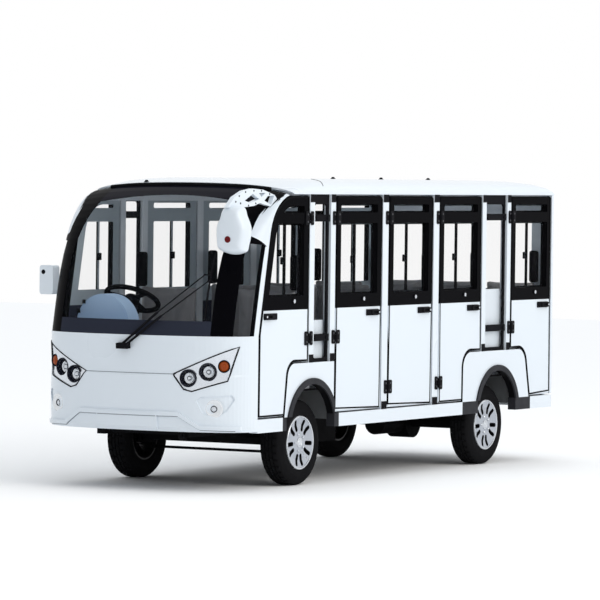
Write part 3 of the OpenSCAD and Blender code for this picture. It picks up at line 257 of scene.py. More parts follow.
# %% Plain finishes
BLACK_SHINE = 0.01
PAINT_ROUGH = 0.3
WHITE_DARK = (0.710, 0.775, 0.840)
WHITE_LIGHT = (0.730, 0.793, 0.855)
white_gel = finish("white_gel", WHITE_DARK, WHITE_LIGHT, PAINT_ROUGH, coat=0.3, patch=1.2)
black_satin = finish("black_satin", (0.006, 0.006, 0.008), (0.012, 0.012, 0.014), 0.4,
                     shine=BLACK_SHINE)
black_rubber = finish("black_rubber", (0.005, 0.005, 0.006), (0.010, 0.010, 0.011), 0.7,
                      grain=300, depth=0.0004, shine=BLACK_SHINE)
flare_rubber = finish("flare_rubber", (0.022, 0.023, 0.027), (0.034, 0.035, 0.041), 0.6,
                      grain=300, depth=0.0004, shine=0.1)
tyre_rubber = finish("tyre_rubber", (0.007, 0.007, 0.008), (0.015, 0.015, 0.016), 0.8,
                     grain=220, depth=0.0006, shine=BLACK_SHINE)
chassis_paint = finish("chassis_paint", (0.006, 0.006, 0.007), (0.013, 0.013, 0.014), 0.6,
                       grain=90, depth=0.0008, shine=BLACK_SHINE)
trim_grey = finish("trim_grey", (0.37, 0.53, 0.74), (0.42, 0.58, 0.79), 0.55,
                   grain=240, depth=0.0005)
base_grey = finish("base_grey", (0.55, 0.57, 0.60), (0.62, 0.64, 0.66), 0.5)
lamp_chrome = finish("lamp_chrome", (0.60, 0.64, 0.70), (0.74, 0.77, 0.81), 0.2, metal=0.8)
mirror_face = finish("mirror_face", (0.75, 0.77, 0.79), (0.8, 0.81, 0.82), 0.03, metal=1.0)
red_lens = finish("red_lens", (0.26, 0.006, 0.006), (0.36, 0.012, 0.012), 0.2, shine=0.2)
print("plain finishes ready")

# %% [markdown]
# ## Masked finishes
# Where one solid carries several finishes, as a door does, masks choose between them. A mask is 1
# where a coordinate or the normal has passed a limit and 0 elsewhere, so two masks join by their
# maximum.

# %% Mask helpers
GLOSS_BLACK = (0.002, 0.002, 0.003)
SEAL_BLACK = (0.006, 0.006, 0.007)
WHITE_PATCH = 0.4


def along_axis(tree, axis, kind="Object"):
    """Object coordinate along one axis, or the normal if the kind is Normal."""
    coords = tree.nodes.new("ShaderNodeTexCoord")
    return add_node(tree, "SeparateXYZ", {0: coords.outputs[kind]}).outputs[axis]


def off_middle(tree):
    """Distance from the middle plane of the bus."""
    return maths(tree, "ABSOLUTE", along_axis(tree, 0))


def outward_normal(tree):
    """How far a face looks away from the middle of the bus: 1 straight out, -1 straight in."""
    side = maths(tree, "SIGN", along_axis(tree, 0))
    return maths(tree, "MULTIPLY", along_axis(tree, 0, "Normal"), side)


def fade(tree, mask, off, on):
    """Number that takes one value where the mask is 0 and another where it is 1."""
    return maths(tree, "MULTIPLY_ADD", mask, on - off, off)


def white_paint(tree):
    """Drifting white of the body panels."""
    return blend(tree, link_noise(tree, WHITE_PATCH), WHITE_DARK, WHITE_LIGHT)


def blacken(tree, shader, dark, colour, black, rough):
    """Black and dull where the mask is 1, the colour with the shine of paint elsewhere."""
    dial(tree, shader, {
        "Base Color": blend(tree, dark, colour, black),
        "Roughness": rough,
        "Specular IOR Level": fade(tree, dark, PAINT_SHINE, BLACK_SHINE),
    })

# %% [markdown]
# ### Doors
# A door is one solid, and its distance from the middle of the bus tells what a face belongs to:
# hinges and handles lie outside the skin, seals just under it and the lining further in.

# %% Door finish
BELT_Z = 1.154
SKIN_X = HALF_W - 0.0082
HARDWARE_X = HALF_W + 0.0006
INNER_X = HALF_W - 0.0455
HARDWARE_BLACK = (0.014, 0.014, 0.016)
INNER_GREY = (0.46, 0.53, 0.58)
INNER_DARK = (0.030, 0.034, 0.055)
GLOSS_ROUGH = 0.22
DULL_ROUGH = 0.52

door_finish, tree, shader = new_material("door_finish")
depth = off_middle(tree)
band = maths(tree, "GREATER_THAN", along_axis(tree, 2), BELT_Z)
seal = maths(tree, "LESS_THAN", depth, SKIN_X)
inner = maths(tree, "LESS_THAN", depth, INNER_X)
hardware = maths(tree, "GREATER_THAN", depth, HARDWARE_X)
dull = maths(tree, "MAXIMUM", seal, hardware)
black = maths(tree, "MAXIMUM", band, dull)
colour = blend(tree, band, white_paint(tree), GLOSS_BLACK)
colour = blend(tree, seal, colour, SEAL_BLACK)
colour = blend(tree, inner, colour, blend(tree, band, INNER_DARK, INNER_GREY))
dial(tree, shader, {
    "Base Color": blend(tree, hardware, colour, HARDWARE_BLACK),
    "Roughness": fade(tree, dull, GLOSS_ROUGH, DULL_ROUGH),
    "Specular IOR Level": fade(tree, black, PAINT_SHINE, BLACK_SHINE),
})
print("door finish ready")

# %% [markdown]
# ### Pillars, arches and floor
# These panels turn black where they are not meant to be seen: on faces that turn in to the glass or
# the wheel, and under the floor. There the normal makes the mask. In front of a sloping line the
# pillar is also black over the quarter pane's top corner.

# %% Pillar, arch and floor finishes
REVEAL_NORMAL = 0.3
CORNER_LOW_Z = 1.565
CORNER_SLOPE = 0.7
CORNER_LINE = 0.2814
MAT_DARK = (0.16, 0.17, 0.18)
MAT_LIGHT = (0.24, 0.25, 0.26)
MAT_PATCH = 9.0
MAT_ROUGH = 0.8

pillar_finish, tree, shader = new_material("pillar_finish")
reveal = maths(tree, "LESS_THAN", outward_normal(tree), REVEAL_NORMAL)
z = along_axis(tree, 2)
slope = maths(tree, "ADD", z, maths(tree, "MULTIPLY", along_axis(tree, 1), CORNER_SLOPE))
corner = maths(tree, "MULTIPLY", maths(tree, "GREATER_THAN", z, CORNER_LOW_Z),
               maths(tree, "LESS_THAN", slope, CORNER_LINE))
dark = maths(tree, "MAXIMUM", reveal, corner)
blacken(tree, shader, dark, white_paint(tree), GLOSS_BLACK, PAINT_ROUGH)

arch_finish, tree, shader = new_material("arch_finish")
dark = maths(tree, "LESS_THAN", outward_normal(tree), REVEAL_NORMAL)
blacken(tree, shader, dark, white_paint(tree), SEAL_BLACK, PAINT_ROUGH)

floor_finish, tree, shader = new_material("floor_finish")
mat = blend(tree, link_noise(tree, MAT_PATCH), MAT_DARK, MAT_LIGHT)
below = maths(tree, "LESS_THAN", along_axis(tree, 2, "Normal"), -REVEAL_NORMAL)
out = maths(tree, "GREATER_THAN", outward_normal(tree), REVEAL_NORMAL)
blacken(tree, shader, maths(tree, "MAXIMUM", below, out), mat, SEAL_BLACK, MAT_ROUGH)
print("pillar, arch and floor finishes ready")

# %% [markdown]
# ### Wheels
# Cover, rim and hub are one solid. The cover's outer face is silver. The walls of its slots and
# everything that lies behind the cover are black, as painted shade that makes the slots read dark.

# %% Wheel finish
COVER_X = 0.628
SLOT_SHADE_NORMAL = 0.5
COVER_DARK = (0.38, 0.41, 0.46)
COVER_LIGHT = (0.50, 0.53, 0.58)
COVER_PATCH = 6.0
COVER_METAL = 0.6
COVER_SHINE = 0.2
COVER_ROUGH = (0.26, 0.36)
COVER_WEAR = 9.0

wheel_finish, tree, shader = new_material("wheel_finish")
silver = blend(tree, link_noise(tree, COVER_PATCH), COVER_DARK, COVER_LIGHT)
# painted shade: black behind the cover and on the slot walls, so the slots read dark
behind = maths(tree, "LESS_THAN", off_middle(tree), COVER_X)
painted_slot_shade = maths(tree, "LESS_THAN", outward_normal(tree), SLOT_SHADE_NORMAL)
dark = maths(tree, "MAXIMUM", behind, painted_slot_shade)
dial(tree, shader, {
    "Base Color": blend(tree, dark, silver, SEAL_BLACK),
    "Metallic": fade(tree, dark, COVER_METAL, 0.0),
    "Roughness": vary(tree, link_noise(tree, COVER_WEAR), *COVER_ROUGH),
    "Specular IOR Level": COVER_SHINE,
})
print("wheel finish ready")

# %% [markdown]
# ### Glass
# A pane is a closed solid, so a ray crosses two skins and a small alpha is enough. The windscreen
# has a printed border: black at the sides, dark below and along the top, where its edge follows the
# bow of the roof.

# %% Glass
GLASS_TINT = (0.035, 0.042, 0.050)
GLASS_SHINE = 0.14
GLASS_ROUGH = 0.02
SIDE_ALPHA = 0.022
SCREEN_ALPHA = 0.045
SCREEN_ROUGH = 0.03
SCREEN_SIDE_X = 0.562
SCREEN_LOW_Z = COWL_Z + 0.095
SCREEN_HIGH_Z = 1.885
SCREEN_HIGH_BOW = 0.16
BORDER_LOW = (0.027, 0.031, 0.047)
BORDER_TOP = (0.008, 0.008, 0.013)


def build_clear_glass(name, alpha):
    """Faintly tinted glass."""
    material, tree, shader = new_material(name)
    dial(tree, shader, {
        "Base Color": GLASS_TINT,
        "Roughness": GLASS_ROUGH,
        "Specular IOR Level": GLASS_SHINE,
        "Alpha": alpha,
    })
    return material


side_glass = build_clear_glass("side_glass", SIDE_ALPHA)

screen_glass, tree, shader = new_material("screen_glass")
x = off_middle(tree)
z = along_axis(tree, 2)
bow = maths(tree, "MULTIPLY", maths(tree, "MULTIPLY", x, x), SCREEN_HIGH_BOW)
top = maths(tree, "GREATER_THAN", maths(tree, "ADD", z, bow), SCREEN_HIGH_Z)
low = maths(tree, "LESS_THAN", z, SCREEN_LOW_Z)
sides = maths(tree, "GREATER_THAN", x, SCREEN_SIDE_X)
border = maths(tree, "MAXIMUM", maths(tree, "MAXIMUM", top, low), sides)
colour = blend(tree, border, GLASS_TINT, BORDER_LOW)
colour = blend(tree, top, colour, BORDER_TOP)
dial(tree, shader, {
    "Base Color": blend(tree, sides, colour, GLOSS_BLACK),
    "Roughness": SCREEN_ROUGH,
    "Specular IOR Level": fade(tree, border, GLASS_SHINE, BLACK_SHINE),
    "Alpha": fade(tree, border, SCREEN_ALPHA, 1.0),
})
print("glass ready")

# %% [markdown]
# ## Finishes on the solids
# A CAD solid keeps its mesh and only gets a material. The table gives the nodes of each finish, and
# the doors, panes, tyres and wheels are filled in by their name's first word.

# %% Assign finishes
FINISH_NODES = [
    (white_gel, "front_fascia roof side_posts sills rear_wall rear_bumper mirrors"),
    (pillar_finish, "front_pillars"),
    (arch_finish, "arch_panels"),
    (lamp_chrome, "headlamps"),
    (red_lens, "tail_lamps"),
    (screen_glass, "windscreen"),
    (side_glass, "fixed_glass lamp_lenses"),
    (mirror_face, "mirror_glass"),
    (black_satin, "hinge_leaves wiper mirror_stay steering_wheel"),
    (black_rubber, "seat_pads"),
    (flare_rubber, "arch_flares"),
    (floor_finish, "floor_pan"),
    (trim_grey, "dashboard"),
    (base_grey, "seat_bases"),
    (chassis_paint, "chassis_frame battery_pack front_axle rear_axle"),
    (chassis_paint, "knuckle_l knuckle_r tie_rod"),
]
FIRST_WORD_FINISH = {
    "door": door_finish, "glass": side_glass, "tyre": tyre_rubber, "wheel": wheel_finish,
}
node_finish = {name: material for material, names in FINISH_NODES for name in names.split()}
for name, node in nodes.items():
    material = node_finish.get(name) or FIRST_WORD_FINISH[name.split("_")[0]]
    node.data.materials.clear()
    node.data.materials.append(material)
print("finishes on", len(nodes), "nodes")

# %% [markdown]
# ## Helpers for new pieces
# New pieces start as a bmesh. One helper turns it into a finished object: it merges doubles, turns
# the normals outwards, smooths all but sharp edges and lets the piece ride on a body of the bus.

# %% Piece helpers
CREASE = math.radians(35)
NO_CREASE = math.pi
MERGE = 1e-6


def add_piece(name, bm, material, body="bus", crease=CREASE):
    """Finished object from a bmesh, riding on a body and carrying its material."""
    bmesh.ops.remove_doubles(bm, verts=bm.verts, dist=MERGE)
    bmesh.ops.recalc_face_normals(bm, faces=bm.faces)
    mesh = mesh_of(name, bm)
    mesh.materials.append(material)
    mesh.shade_smooth()
    mesh.set_sharp_from_angle(angle=crease)
    piece = linked(name, mesh)
    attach(piece, body)
    print(name, len(mesh.polygons), "faces on", body)
    return piece


def bmesh_of(mesh):
    """bmesh from a mesh, which is removed."""
    bm = bmesh.new()
    bm.from_mesh(mesh)
    bpy.data.meshes.remove(mesh)
    return bm


def evaluated(thing):
    """New mesh of an object as its modifiers or its bevel leave it."""
    shown = thing.evaluated_get(bpy.context.evaluated_depsgraph_get())
    return bpy.data.meshes.new_from_object(shown)


def moved(bm, place):
    """The same bmesh, moved by a matrix."""
    bmesh.ops.transform(bm, matrix=place, verts=bm.verts)
    return bm


def join_into(bm, other, place=None):
    """Adds a second bmesh to the first, moved by a matrix if one is given, and frees it."""
    carrier = mesh_of("carrier", moved(other, place) if place else other)
    bm.from_mesh(carrier)
    bpy.data.meshes.remove(carrier)


# %% Basic shapes
def block(low, high, round_r, segments=3):
    """bmesh of a box between two corners, with its edges rounded."""
    bm = bmesh.new()
    bmesh.ops.create_cube(bm, size=1)
    low, high = Vector(low), Vector(high)
    bmesh.ops.scale(bm, verts=bm.verts, vec=high - low)
    bmesh.ops.translate(bm, verts=bm.verts, vec=(low + high) / 2)
    bmesh.ops.bevel(bm, geom=list(bm.edges), offset=round_r, offset_type="OFFSET",
                    segments=segments, profile=0.5, affect="EDGES", material=-1,
                    clamp_overlap=True)
    return bm


def lathe(profile, steps):
    """bmesh of (radius, height) points turned round the Z axis."""
    bm = bmesh.new()
    points = [bm.verts.new((radius, 0, height)) for radius, height in profile]
    edges = [bm.edges.new(pair) for pair in zip(points, points[1:])]
    bmesh.ops.spin(bm, geom=points + edges, cent=(0, 0, 0), axis=(0, 0, 1),
                   angle=math.tau, steps=steps, use_merge=True)
    bmesh.ops.remove_doubles(bm, verts=bm.verts, dist=MERGE)
    return bm


def facing(place, direction):
    """Matrix with its origin at a place and its Z axis along a direction."""
    turn = Vector(direction).to_track_quat("Z", "Y")
    return Matrix.Translation(place) @ turn.to_matrix().to_4x4()

# %% [markdown]
# ## Seat covers
# The seats are foam in dark leather cloth. A foam pad is never a block: the cover is cut a little
# small and the foam pushes it out. One cushion and one back are puffed by Blender's cloth with
# pressure, sewn channels are pressed in afterwards, and the two shapes are copied to every seat.

# %% Puffing a pad
SEAT_W = 0.430
CUSHION = Vector((SEAT_W, 0.390, 0.095))
BACK = Vector((SEAT_W, 0.074, 0.500))
PAD_SWELL = 0.012
PAD_ROUND = 0.016
PAD_CAP = 0.024
PAD_VOXEL = 0.010
PAD_PRESSURE = 4
PAD_FRAMES = 20


def puffed(name, size):
    """Mesh of a pad round its middle, blown up from a smaller box by cloth under pressure."""
    half = size / 2 - Vector((PAD_SWELL, PAD_SWELL, PAD_SWELL))
    pad = linked(name, mesh_of(name, block(-half, half, PAD_ROUND)))
    even = pad.modifiers.new("even", "REMESH")
    even.mode = "VOXEL"
    even.voxel_size = PAD_VOXEL
    start = evaluated(pad)
    pad.modifiers.clear()
    pad.data = start
    result = start
    cloth = pad.modifiers.new("cover", "CLOTH")
    cloth.settings.use_pressure = True
    cloth.settings.uniform_pressure_force = PAD_PRESSURE
    cloth.settings.effector_weights.gravity = 0
    cloth.collision_settings.use_collision = False
    for step in range(1, PAD_FRAMES + 1):
        scene.frame_set(step)
    result = evaluated(pad)
    for rest, vert in zip(start.vertices, result.vertices):
        move = vert.co - rest.co
        if move.length > PAD_CAP:
            vert.co = rest.co + move.normalized() * PAD_CAP
    scene.frame_set(1)
    bpy.data.objects.remove(pad)
    return result


# %% Puff and sew one cushion and one back
PAD_SIDE = 0.006
FACE_SHARE = 0.25
CHANNEL_X = SEAT_W / 6
CHANNEL_W = 0.009
CHANNEL_DEEP = 0.007


def sew(mesh, size, axis, sign):
    """Presses two channels into the face towards sign x axis and keeps the sides in."""
    side = size.x / 2 + PAD_SIDE
    for vert in mesh.vertices:
        vert.co.x = max(-side, min(side, vert.co.x))
        if vert.co[axis] * sign > size[axis] * FACE_SHARE:
            for channel in (-CHANNEL_X, CHANNEL_X):
                share = math.exp(-((vert.co.x - channel) / CHANNEL_W) ** 2)
                vert.co[axis] -= sign * CHANNEL_DEEP * share
    return mesh


cushion_pad = sew(puffed("cushion_pad", CUSHION), CUSHION, 2, 1)
for vert in cushion_pad.vertices:
    vert.co.z = max(-CUSHION.z / 2, vert.co.z)
back_pad = sew(puffed("back_pad", BACK), BACK, 1, -1)
print("cushion", len(cushion_pad.vertices), "points, back", len(back_pad.vertices), "points")

# %% Copy the covers to every seat
SEAT_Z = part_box("seat_bases")[1][2]
# each row's front edge, and the middle and width of its seats
PAIR = [(-0.375, 0.480), (0.375, 0.480)]
TRIPLE = [(-0.452, SEAT_W), (0, SEAT_W), (0.452, SEAT_W)]
ROWS = [(-1.6225, PAIR), (-0.6225, TRIPLE), (0.1065, TRIPLE), (0.8355, TRIPLE), (1.7620, TRIPLE)]
CUSHION_AHEAD = 0.008
BACK_FOOT = 0.390
BACK_LEAN = math.radians(2)
POST_W = 0.060
POST_T = 0.055
POST_LOW = 0.470
POST_HIGH = 0.700
POST_Y = BACK_FOOT + 0.0275
POST_ROUND = 0.018

seat_leather = finish("seat_leather", (0.190, 0.190, 0.198), (0.330, 0.330, 0.342), 0.46,
                      grain=420, depth=0.0005, shine=0.12)


def copied(source, places):
    """bmesh with one copy of a mesh at each matrix."""
    bm = bmesh.new()
    for place in places:
        copy = source.copy()
        copy.transform(place)
        bm.from_mesh(copy)
        bpy.data.meshes.remove(copy)
    return bm


def seat_place(x, y, z, width, lean=0.0):
    """Matrix of a pad at a place, widened to its seat and leant back."""
    return (Matrix.Translation((x, y, z)) @ Matrix.Rotation(-lean, 4, "X")
            @ Matrix.Diagonal((width / SEAT_W, 1, 1, 1)))


cushion_places = []
back_places = []
posts = bmesh.new()
for row_y, seats in ROWS:
    cushion_y = row_y - CUSHION_AHEAD + CUSHION.y / 2
    back_y = row_y + BACK_FOOT + BACK.y / 2 + math.tan(BACK_LEAN) * BACK.z / 2
    for x, width in seats:
        cushion_places.append(seat_place(x, cushion_y, SEAT_Z + CUSHION.z / 2, width))
        back_places.append(seat_place(x, back_y, SEAT_Z + BACK.z / 2, width, BACK_LEAN))
        if x:
            outer = x + math.copysign(width / 2 - POST_W / 2, x)
            low = (outer - POST_W / 2, row_y + POST_Y, SEAT_Z + POST_LOW)
            high = (outer + POST_W / 2, row_y + POST_Y + POST_T, SEAT_Z + POST_HIGH)
            join_into(posts, block(low, high, POST_ROUND, 4))

for name, bm, material, fill in (
    ("seat_cushions", copied(cushion_pad, cushion_places), seat_leather, 0.7),
    ("seat_backs", copied(back_pad, back_places), seat_leather, 0.7),
    ("seat_end_posts", posts, black_rubber, 0.9),
):
    pad_piece = add_piece(name, bm, material, crease=NO_CREASE)
    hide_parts("seat_pads")

# %% [markdown]
# ## Tyres
# A road tyre is a turned shape with a tread cut into it. A spin makes the body, its profile carries
# the three grooves that run all the way round, and short cuts on the ribs are single faces of the
# spin that are inset and pushed in.

# %% Tyre profile
WHEELS = {
    "fl": (1, -1.2225), "fr": (-1, -1.2225), "rl": (1, 1.4275), "rr": (-1, 1.4275),
}
tyre_low, tyre_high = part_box("tyre_fl")
TYRE_R = (tyre_high[2] - tyre_low[2]) / 2
TYRE_HALF = (tyre_high[0] - tyre_low[0]) / 2
WHEEL_X = (tyre_high[0] + tyre_low[0]) / 2
BEAD_R = 0.165
GROOVES = (-0.026, 0.0, 0.026)
GROOVE_HALF = 0.004
GROOVE_FLOOR = GROOVE_HALF * 0.7
GROOVE_DEEP = 0.008
TREAD_HALF = 0.046

wall = [
    (BEAD_R, TYRE_HALF - 0.016), (BEAD_R + 0.010, TYRE_HALF - 0.006),
    (BEAD_R + 0.026, TYRE_HALF - 0.0020), (TYRE_R - 0.058, TYRE_HALF),
    (TYRE_R - 0.054, TYRE_HALF), (TYRE_R - 0.050, TYRE_HALF - 0.0016),
    (TYRE_R - 0.030, TYRE_HALF - 0.006), (TYRE_R - 0.014, TYRE_HALF - 0.013),
    (TYRE_R - 0.005, TYRE_HALF - 0.024),
]
tread = [(TYRE_R - 0.001, -TREAD_HALF)]
for middle in GROOVES:
    tread += [
        (TYRE_R, middle - GROOVE_HALF), (TYRE_R - GROOVE_DEEP, middle - GROOVE_FLOOR),
        (TYRE_R - GROOVE_DEEP, middle + GROOVE_FLOOR), (TYRE_R, middle + GROOVE_HALF),
    ]
tread.append((TYRE_R - 0.001, TREAD_HALF))
inner_wall = [(radius, -height) for radius, height in wall]
bore = [(BEAD_R - 0.004, TYRE_HALF - 0.020), (BEAD_R - 0.004, -TYRE_HALF + 0.020)]
# from one bead over the tread to the other, and back through the bore
tyre_profile = inner_wall + tread + wall[::-1] + bore + inner_wall[:1]
print("tyre profile of", len(tyre_profile), "points, radius", round(TYRE_R, 3))

# %% Tyres
TYRE_STEPS = 108
RIB_EDGE = TYRE_HALF - 0.050
SHOULDER_EDGE = TYRE_HALF - 0.022
CUT_MIN_R = TYRE_R - 0.004
SHOULDER_EVERY = 3
RIB_EVERY = 4
CUT_INSET = 0.0022
CUT_DEEP = 0.006


def has_cut(face):
    """True for the tread faces with a cut: every third on the shoulders, every fourth on a rib."""
    middle = face.calc_center_median()
    if math.hypot(middle.x, middle.y) <= CUT_MIN_R:
        return False
    turn = round(math.atan2(middle.y, middle.x) / (math.tau / TYRE_STEPS) - 0.5)
    if abs(middle.z) < RIB_EDGE:
        return (turn + (middle.z > 0)) % RIB_EVERY == 0
    return RIB_EDGE < abs(middle.z) < SHOULDER_EDGE and turn % SHOULDER_EVERY == 0


for key, (side, y) in WHEELS.items():
    bm = lathe(tyre_profile, TYRE_STEPS)
    cuts = [face for face in bm.faces if has_cut(face)]
    bmesh.ops.recalc_face_normals(bm, faces=bm.faces)
    bmesh.ops.inset_individual(bm, faces=cuts, thickness=CUT_INSET, depth=-CUT_DEEP,
                               use_even_offset=True)
    moved(bm, facing((side * WHEEL_X, y, TYRE_R), (side, 0, 0)))
    tyre = add_piece("road_tyre_" + key, bm, tyre_rubber, "wheel_" + key)
    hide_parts("tyre_" + key)

# %% [markdown]
# ## Wheel covers
# Each silver cover ends in a bright rim, has a plain round cap in the middle and a ring of nuts
# round it. They are turned shapes set on the cover's outer face.

# %% Wheel cover trim
COVER_R = 0.178
COVER_FACE_X = WHEEL_X + TYRE_HALF - 0.007
NUT_RING = 0.056
NUT_R = 0.009
NUT_COUNT = 5
NUT_SUNK = -0.001
HUB_CAP = [
    (0, 0.005), (0.016, 0.005), (0.018, 0.0035), (0.021, 0.0035), (0.023, 0.005),
    (0.033, 0.003), (0.036, -0.004),
]
COVER_RIM = [
    (COVER_R - 0.017, 0.000), (COVER_R - 0.013, 0.009), (COVER_R - 0.007, 0.011),
    (COVER_R - 0.002, 0.008), (COVER_R, 0.001),
]
NUT = [(0, 0.008), (NUT_R * 0.7, 0.008), (NUT_R, 0.005), (NUT_R, -0.006)]

cap_silver = finish("cap_silver", (0.56, 0.59, 0.63), (0.68, 0.71, 0.75), 0.22, metal=0.8)

for key, (side, y) in WHEELS.items():
    trim = lathe(HUB_CAP, 48)
    join_into(trim, lathe(COVER_RIM, 72))
    for i in range(NUT_COUNT):
        turn = math.tau * (i + 0.5) / NUT_COUNT
        spot = (NUT_RING * math.cos(turn), NUT_RING * math.sin(turn), NUT_SUNK)
        join_into(trim, lathe(NUT, 6), Matrix.Translation(spot))
    moved(trim, facing((side * COVER_FACE_X, y, TYRE_R), (side, 0, 0)))
    add_piece("cover_trim_" + key, trim, cap_silver, "wheel_" + key)

# %% [markdown]
# ## Lamps
# Each headlamp holds two round lamps in deep dark bowls and an amber indicator. The bezel's solid
# is closed, so a copy of it gets round holes from a Boolean, and each hole gets a turned bowl, a
# reflector left in flat facets so that it glitters, and a clear dome. The fog lamps below sit in
# shallow dishes. A ray from the front finds the place and the slope of the panel under each lamp.

# %% Places on the nose
RAY_START = 5
SOLID_MERGE = 1e-5


def merged_copy(name):
    """bmesh with a node's triangles joined into one skin."""
    bm = bmesh.new()
    bm.from_mesh(nodes[name].data)
    bmesh.ops.remove_doubles(bm, verts=bm.verts, dist=SOLID_MERGE)
    bmesh.ops.recalc_face_normals(bm, faces=bm.faces)
    return bm


def skin_of(name):
    """Search tree over the faces of a node."""
    bm = merged_copy(name)
    tree = BVHTree.FromBMesh(bm)
    bm.free()
    return tree


def from_front(skin, x, z):
    """Point and outward normal of a skin at a place in the front view."""
    point, normal, _, _ = skin.ray_cast(Vector((x, -RAY_START, z)), Vector((0, 1, 0)))
    return point, normal if normal.y < 0 else -normal


def lamp_place(skin, x, z, ahead):
    """Matrix of a lamp: its axis between the panel's normal and straight ahead."""
    point, normal = from_front(skin, x, z)
    return facing(point, normal + Vector((0, -ahead, 0)))


bezel_skin = skin_of("headlamps")
fascia_skin = skin_of("front_fascia")
print("skins of bezels and nose ready")

# %% Holes in the bezels
# x, z and radius of each lamp
LAMPS = [(0.428, 0.728, 0.052), (0.545, 0.768, 0.054)]
INDICATOR = (0.634, 0.806, 0.038)
FOG = (0.585, 0.535, 0.028)
BEZEL_AHEAD = 0.5
FOG_AHEAD = 0.4
DRILL_OUT = 0.06
DRILL_IN = -0.08

drills = bmesh.new()
for side in (-1, 1):
    for x, z, r in LAMPS + [INDICATOR]:
        rod = lathe([(0, DRILL_OUT), (r, DRILL_OUT), (r, DRILL_IN), (0, DRILL_IN)], 48)
        join_into(drills, rod, lamp_place(bezel_skin, side * x, z, BEZEL_AHEAD))
bmesh.ops.recalc_face_normals(drills, faces=drills.faces)
solid = linked("drilled", mesh_of("drilled", merged_copy("headlamps")))
drill = linked("drill", mesh_of("drill", drills))
cut = solid.modifiers.new("holes", "BOOLEAN")
cut.operation = "DIFFERENCE"
cut.solver = "EXACT"
cut.object = drill
bezel_skins = bmesh_of(evaluated(solid))
for carrier in (solid, drill):
    bpy.data.objects.remove(carrier)
bezels = add_piece("headlamp_bezels", bezel_skins, lamp_chrome)
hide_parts("headlamps")

# %% Lamp profiles
# share of the lamp's radius, and height over the panel
BOWL_DEEP = 0.034
BOWL = [
    (1.10, -0.004), (1.10, 0.004), (1.05, 0.008), (0.97, 0.007), (0.93, 0.001),
    (0.86, -BOWL_DEEP * 0.6), (0.74, -BOWL_DEEP), (0, -BOWL_DEEP - 0.004),
]
REFLECTOR = [(share, rise - BOWL_DEEP) for share, rise in (
    (0.76, 0.003), (0.74, 0.008), (0.66, 0.010), (0.52, 0.006), (0.34, 0.005), (0.30, 0.014),
    (0.18, 0.019), (0, 0.021),
)]
DOME = [(0.95, 0.0050), (0.70, 0.0100), (0.36, 0.0128), (0, 0.0138)]
CUP = [(1.08, -0.004), (1.08, 0.003), (1.02, 0.006), (0.95, 0.005), (0.90, -0.016), (0, -0.018)]
AMBER = [
    (0.90, -0.010), (0.84, -0.001), (0.66, 0.005), (0.40, 0.0075), (0.32, 0.0050),
    (0.20, 0.0075), (0, 0.0085),
]
DISH = [(2.1, -0.004), (2.05, 0.0035), (1.85, 0.006), (1.5, 0.004), (1.1, 0.0005), (0.74, 0.0)]
FOG_RING = [(0.76, -0.010), (0.76, 0.0035), (0.68, 0.005), (0.60, 0.0035), (0.60, -0.010)]
FOG_REFLECTOR = [(0.62, 0.001), (0.38, 0.003), (0.16, 0.0045), (0, 0.005)]
FOG_DOME = [(0.76, 0.0040), (0.50, 0.0070), (0, 0.0085)]

# %% Bowls, reflectors and domes
DOME_ALPHA = 0.06
FACETED = 0.05
lamp_bowl = finish("lamp_bowl", (0.006, 0.007, 0.014), (0.012, 0.014, 0.026), 0.25, shine=0.12)
clear_dome = build_clear_glass("clear_dome", DOME_ALPHA)
fog_white = finish("fog_white", (0.72, 0.75, 0.78), (0.82, 0.84, 0.86), 0.2, metal=0.3)
amber_lens = finish("amber_lens", (0.24, 0.036, 0.003), (0.38, 0.070, 0.006), 0.2, shine=0.2)

bowls, reflectors, domes, ambers, dishes = (bmesh.new() for _ in range(5))
# panel, turn ahead and lamp, and the shapes that are turned there with their steps
HEADLAMP = [(bowls, BOWL, 48), (reflectors, REFLECTOR, 14), (domes, DOME, 40)]
LAMP_UNITS = [
    *((bezel_skin, BEZEL_AHEAD, lamp, HEADLAMP) for lamp in LAMPS),
    (bezel_skin, BEZEL_AHEAD, INDICATOR, [(bowls, CUP, 40), (ambers, AMBER, 20)]),
    (fascia_skin, FOG_AHEAD, FOG, [(dishes, DISH, 48), (bowls, FOG_RING, 36),
                                   (reflectors, FOG_REFLECTOR, 12), (domes, FOG_DOME, 36)]),
]
for side in (-1, 1):
    for skin, ahead, (x, z, r), shapes in LAMP_UNITS:
        place = lamp_place(skin, side * x, z, ahead)
        for bm, profile, steps in shapes:
            join_into(bm, lathe([(r * share, height) for share, height in profile], steps), place)
lamp_pieces = [
    add_piece("lamp_bowls", bowls, lamp_bowl),
    add_piece("lamp_reflectors", reflectors, lamp_chrome, crease=FACETED),
    add_piece("fog_dishes", dishes, fog_white),
    add_piece("lamp_domes", domes, clear_dome),
    add_piece("indicator_lenses", ambers, amber_lens),
]
for piece in lamp_pieces:
    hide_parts("lamp_lenses")

# %% [markdown]
# ## Lines on the skin
# A black rubber line frames each headlamp, thin grey lines along the crease of the nose and the
# foot of its ridge are painted shade that darkens these creases, and a seam crosses the roof behind
# the front
# cap. Such lines follow the skin: points along the line are dropped on the panel and a thin tube
# runs through them.

# %% Tubes through points
TUBE_ROUND = 2


def tube(name, runs, radius, material=black_rubber, body="bus", closed=False):
    """Thin round strips through lists of points, as one piece."""
    curve = bpy.data.curves.new(name, "CURVE")
    curve.dimensions = "3D"
    curve.bevel_depth = radius
    curve.bevel_resolution = TUBE_ROUND
    curve.use_fill_caps = True
    for points in runs:
        spline = curve.splines.new("POLY")
        spline.points.add(len(points) - 1)
        for place, point in zip(spline.points, points):
            place.co = (*point, 1)
        spline.use_cyclic_u = closed
    carrier = linked(name + "_line", curve)
    bm = bmesh_of(evaluated(carrier))
    bpy.data.objects.remove(carrier)
    add_piece(name, bm, material, body)


